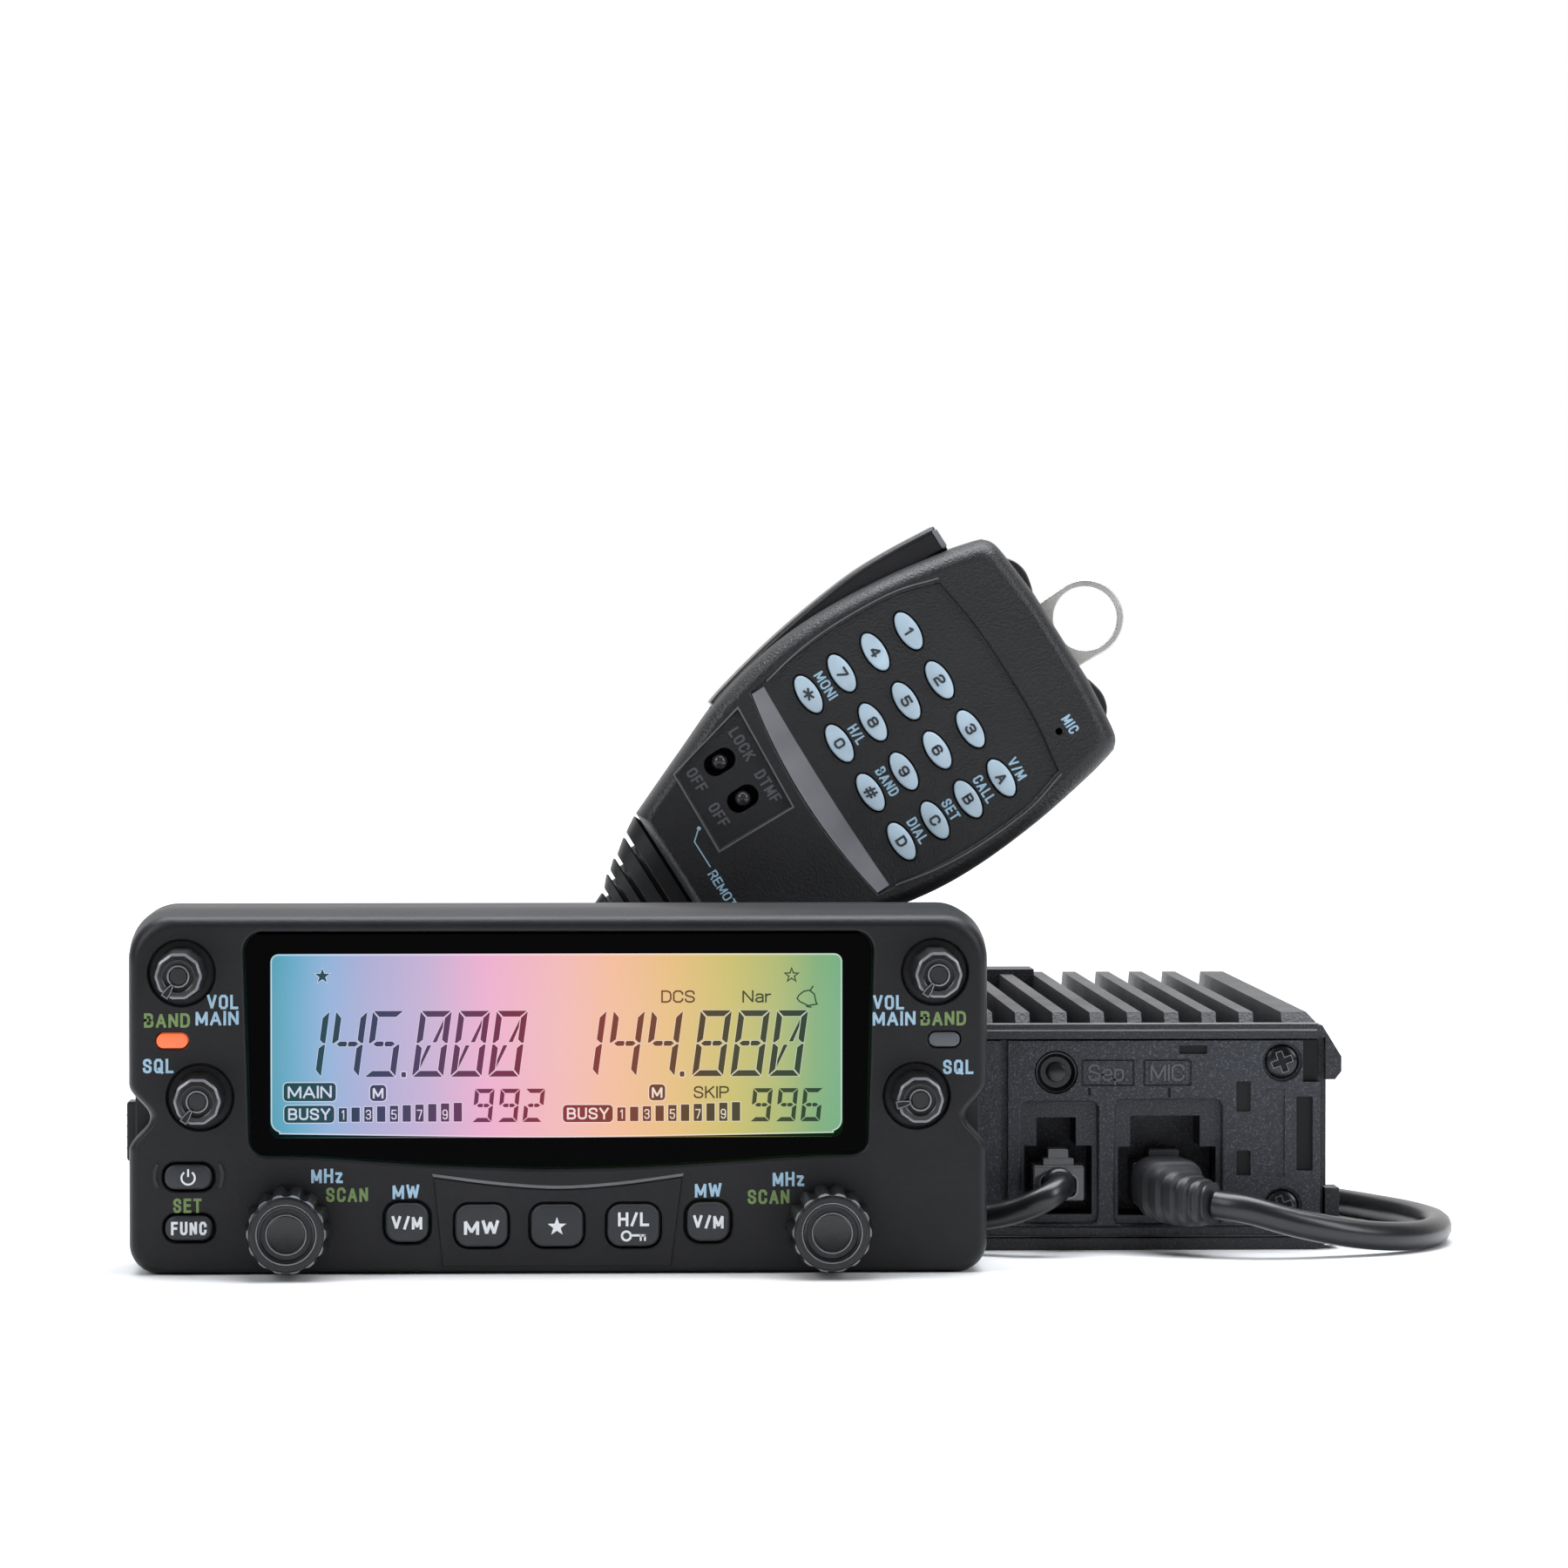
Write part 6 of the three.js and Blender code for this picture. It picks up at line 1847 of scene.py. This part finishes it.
def floor():
    """A pale floor that glows softly far from the object, so that it meets the bright wall without a line."""
    look = Look("floor_pale", (0.86, 0.86, 0.86), 0.75, Specular_IOR_Level=0.2)
    look.vary_colour(look.noise(6, 2), [(0.3, (0.85, 0.85, 0.85)), (0.7, (0.88, 0.88, 0.88))])
    look.bump(look.noise(400, 2), 0.02)
    reach = look.nodes.new("ShaderNodeVectorMath")
    reach.operation = "LENGTH"
    look.links.new(look.place, reach.inputs[0])
    glow = remap(look.nodes, look.links, reach.outputs["Value"], "SMOOTHSTEP", From_Min=0.3, From_Max=2.2)
    look.links.new(glow, look.shader.inputs["Emission Strength"])
    look.shader.inputs["Emission Color"].default_value = (1, 1, 1, 1)
    corners = [(x, y, -0.05) for x, y in ((-6000, -6000), (6000, -6000), (6000, 9000), (-6000, 9000))]
    plane = mesh_piece("floor", corners, [(0, 1, 2, 3)], UNIT)
    plane.data.materials.append(look.material)


def softbox(name, place, aim, width, height, power):
    data = bpy.data.lights.new(name, "AREA")
    data.shape = "RECTANGLE"
    data.size = width
    data.size_y = height
    data.energy = power
    data.color = (0.93, 0.96, 1.0)
    box = add_object(name, data)
    box.location = place
    box.rotation_euler = (Vector(aim) - Vector(place)).to_track_quat("-Z", "Y").to_euler()


def light_scene():
    """A pale room that is bright behind the object and dim in front of it, with soft boxes round it."""
    world = bpy.data.worlds.new("studio")
    bpy.context.scene.world = world
    world.use_nodes = True
    nodes = world.node_tree.nodes
    links = world.node_tree.links
    split = nodes.new("ShaderNodeSeparateXYZ")
    links.new(nodes.new("ShaderNodeTexCoord").outputs["Generated"], split.inputs[0])
    brightness = remap(nodes, links, split.outputs["Y"], "SMOOTHSTEP",
                       From_Min=0.3, From_Max=0.85, To_Min=0.17)
    links.new(brightness, nodes["Background"].inputs["Strength"])
    nodes["Background"].inputs["Color"].default_value = (1, 1, 1, 1)
    softbox("top_box", (0.0, 0.15, 1.2), (-0.02, -0.05, 0.04), 1.4, 0.8, 30)
    softbox("left_box", (-1.1, -0.8, 0.9), (-0.05, -0.1, 0.04), 0.4, 0.9, 9)
    softbox("right_box", (1.1, -0.7, 0.8), (0.0, -0.05, 0.04), 0.4, 0.9, 8)
    bpy.context.scene.view_settings.view_transform = "Standard"


floor()
light_scene()
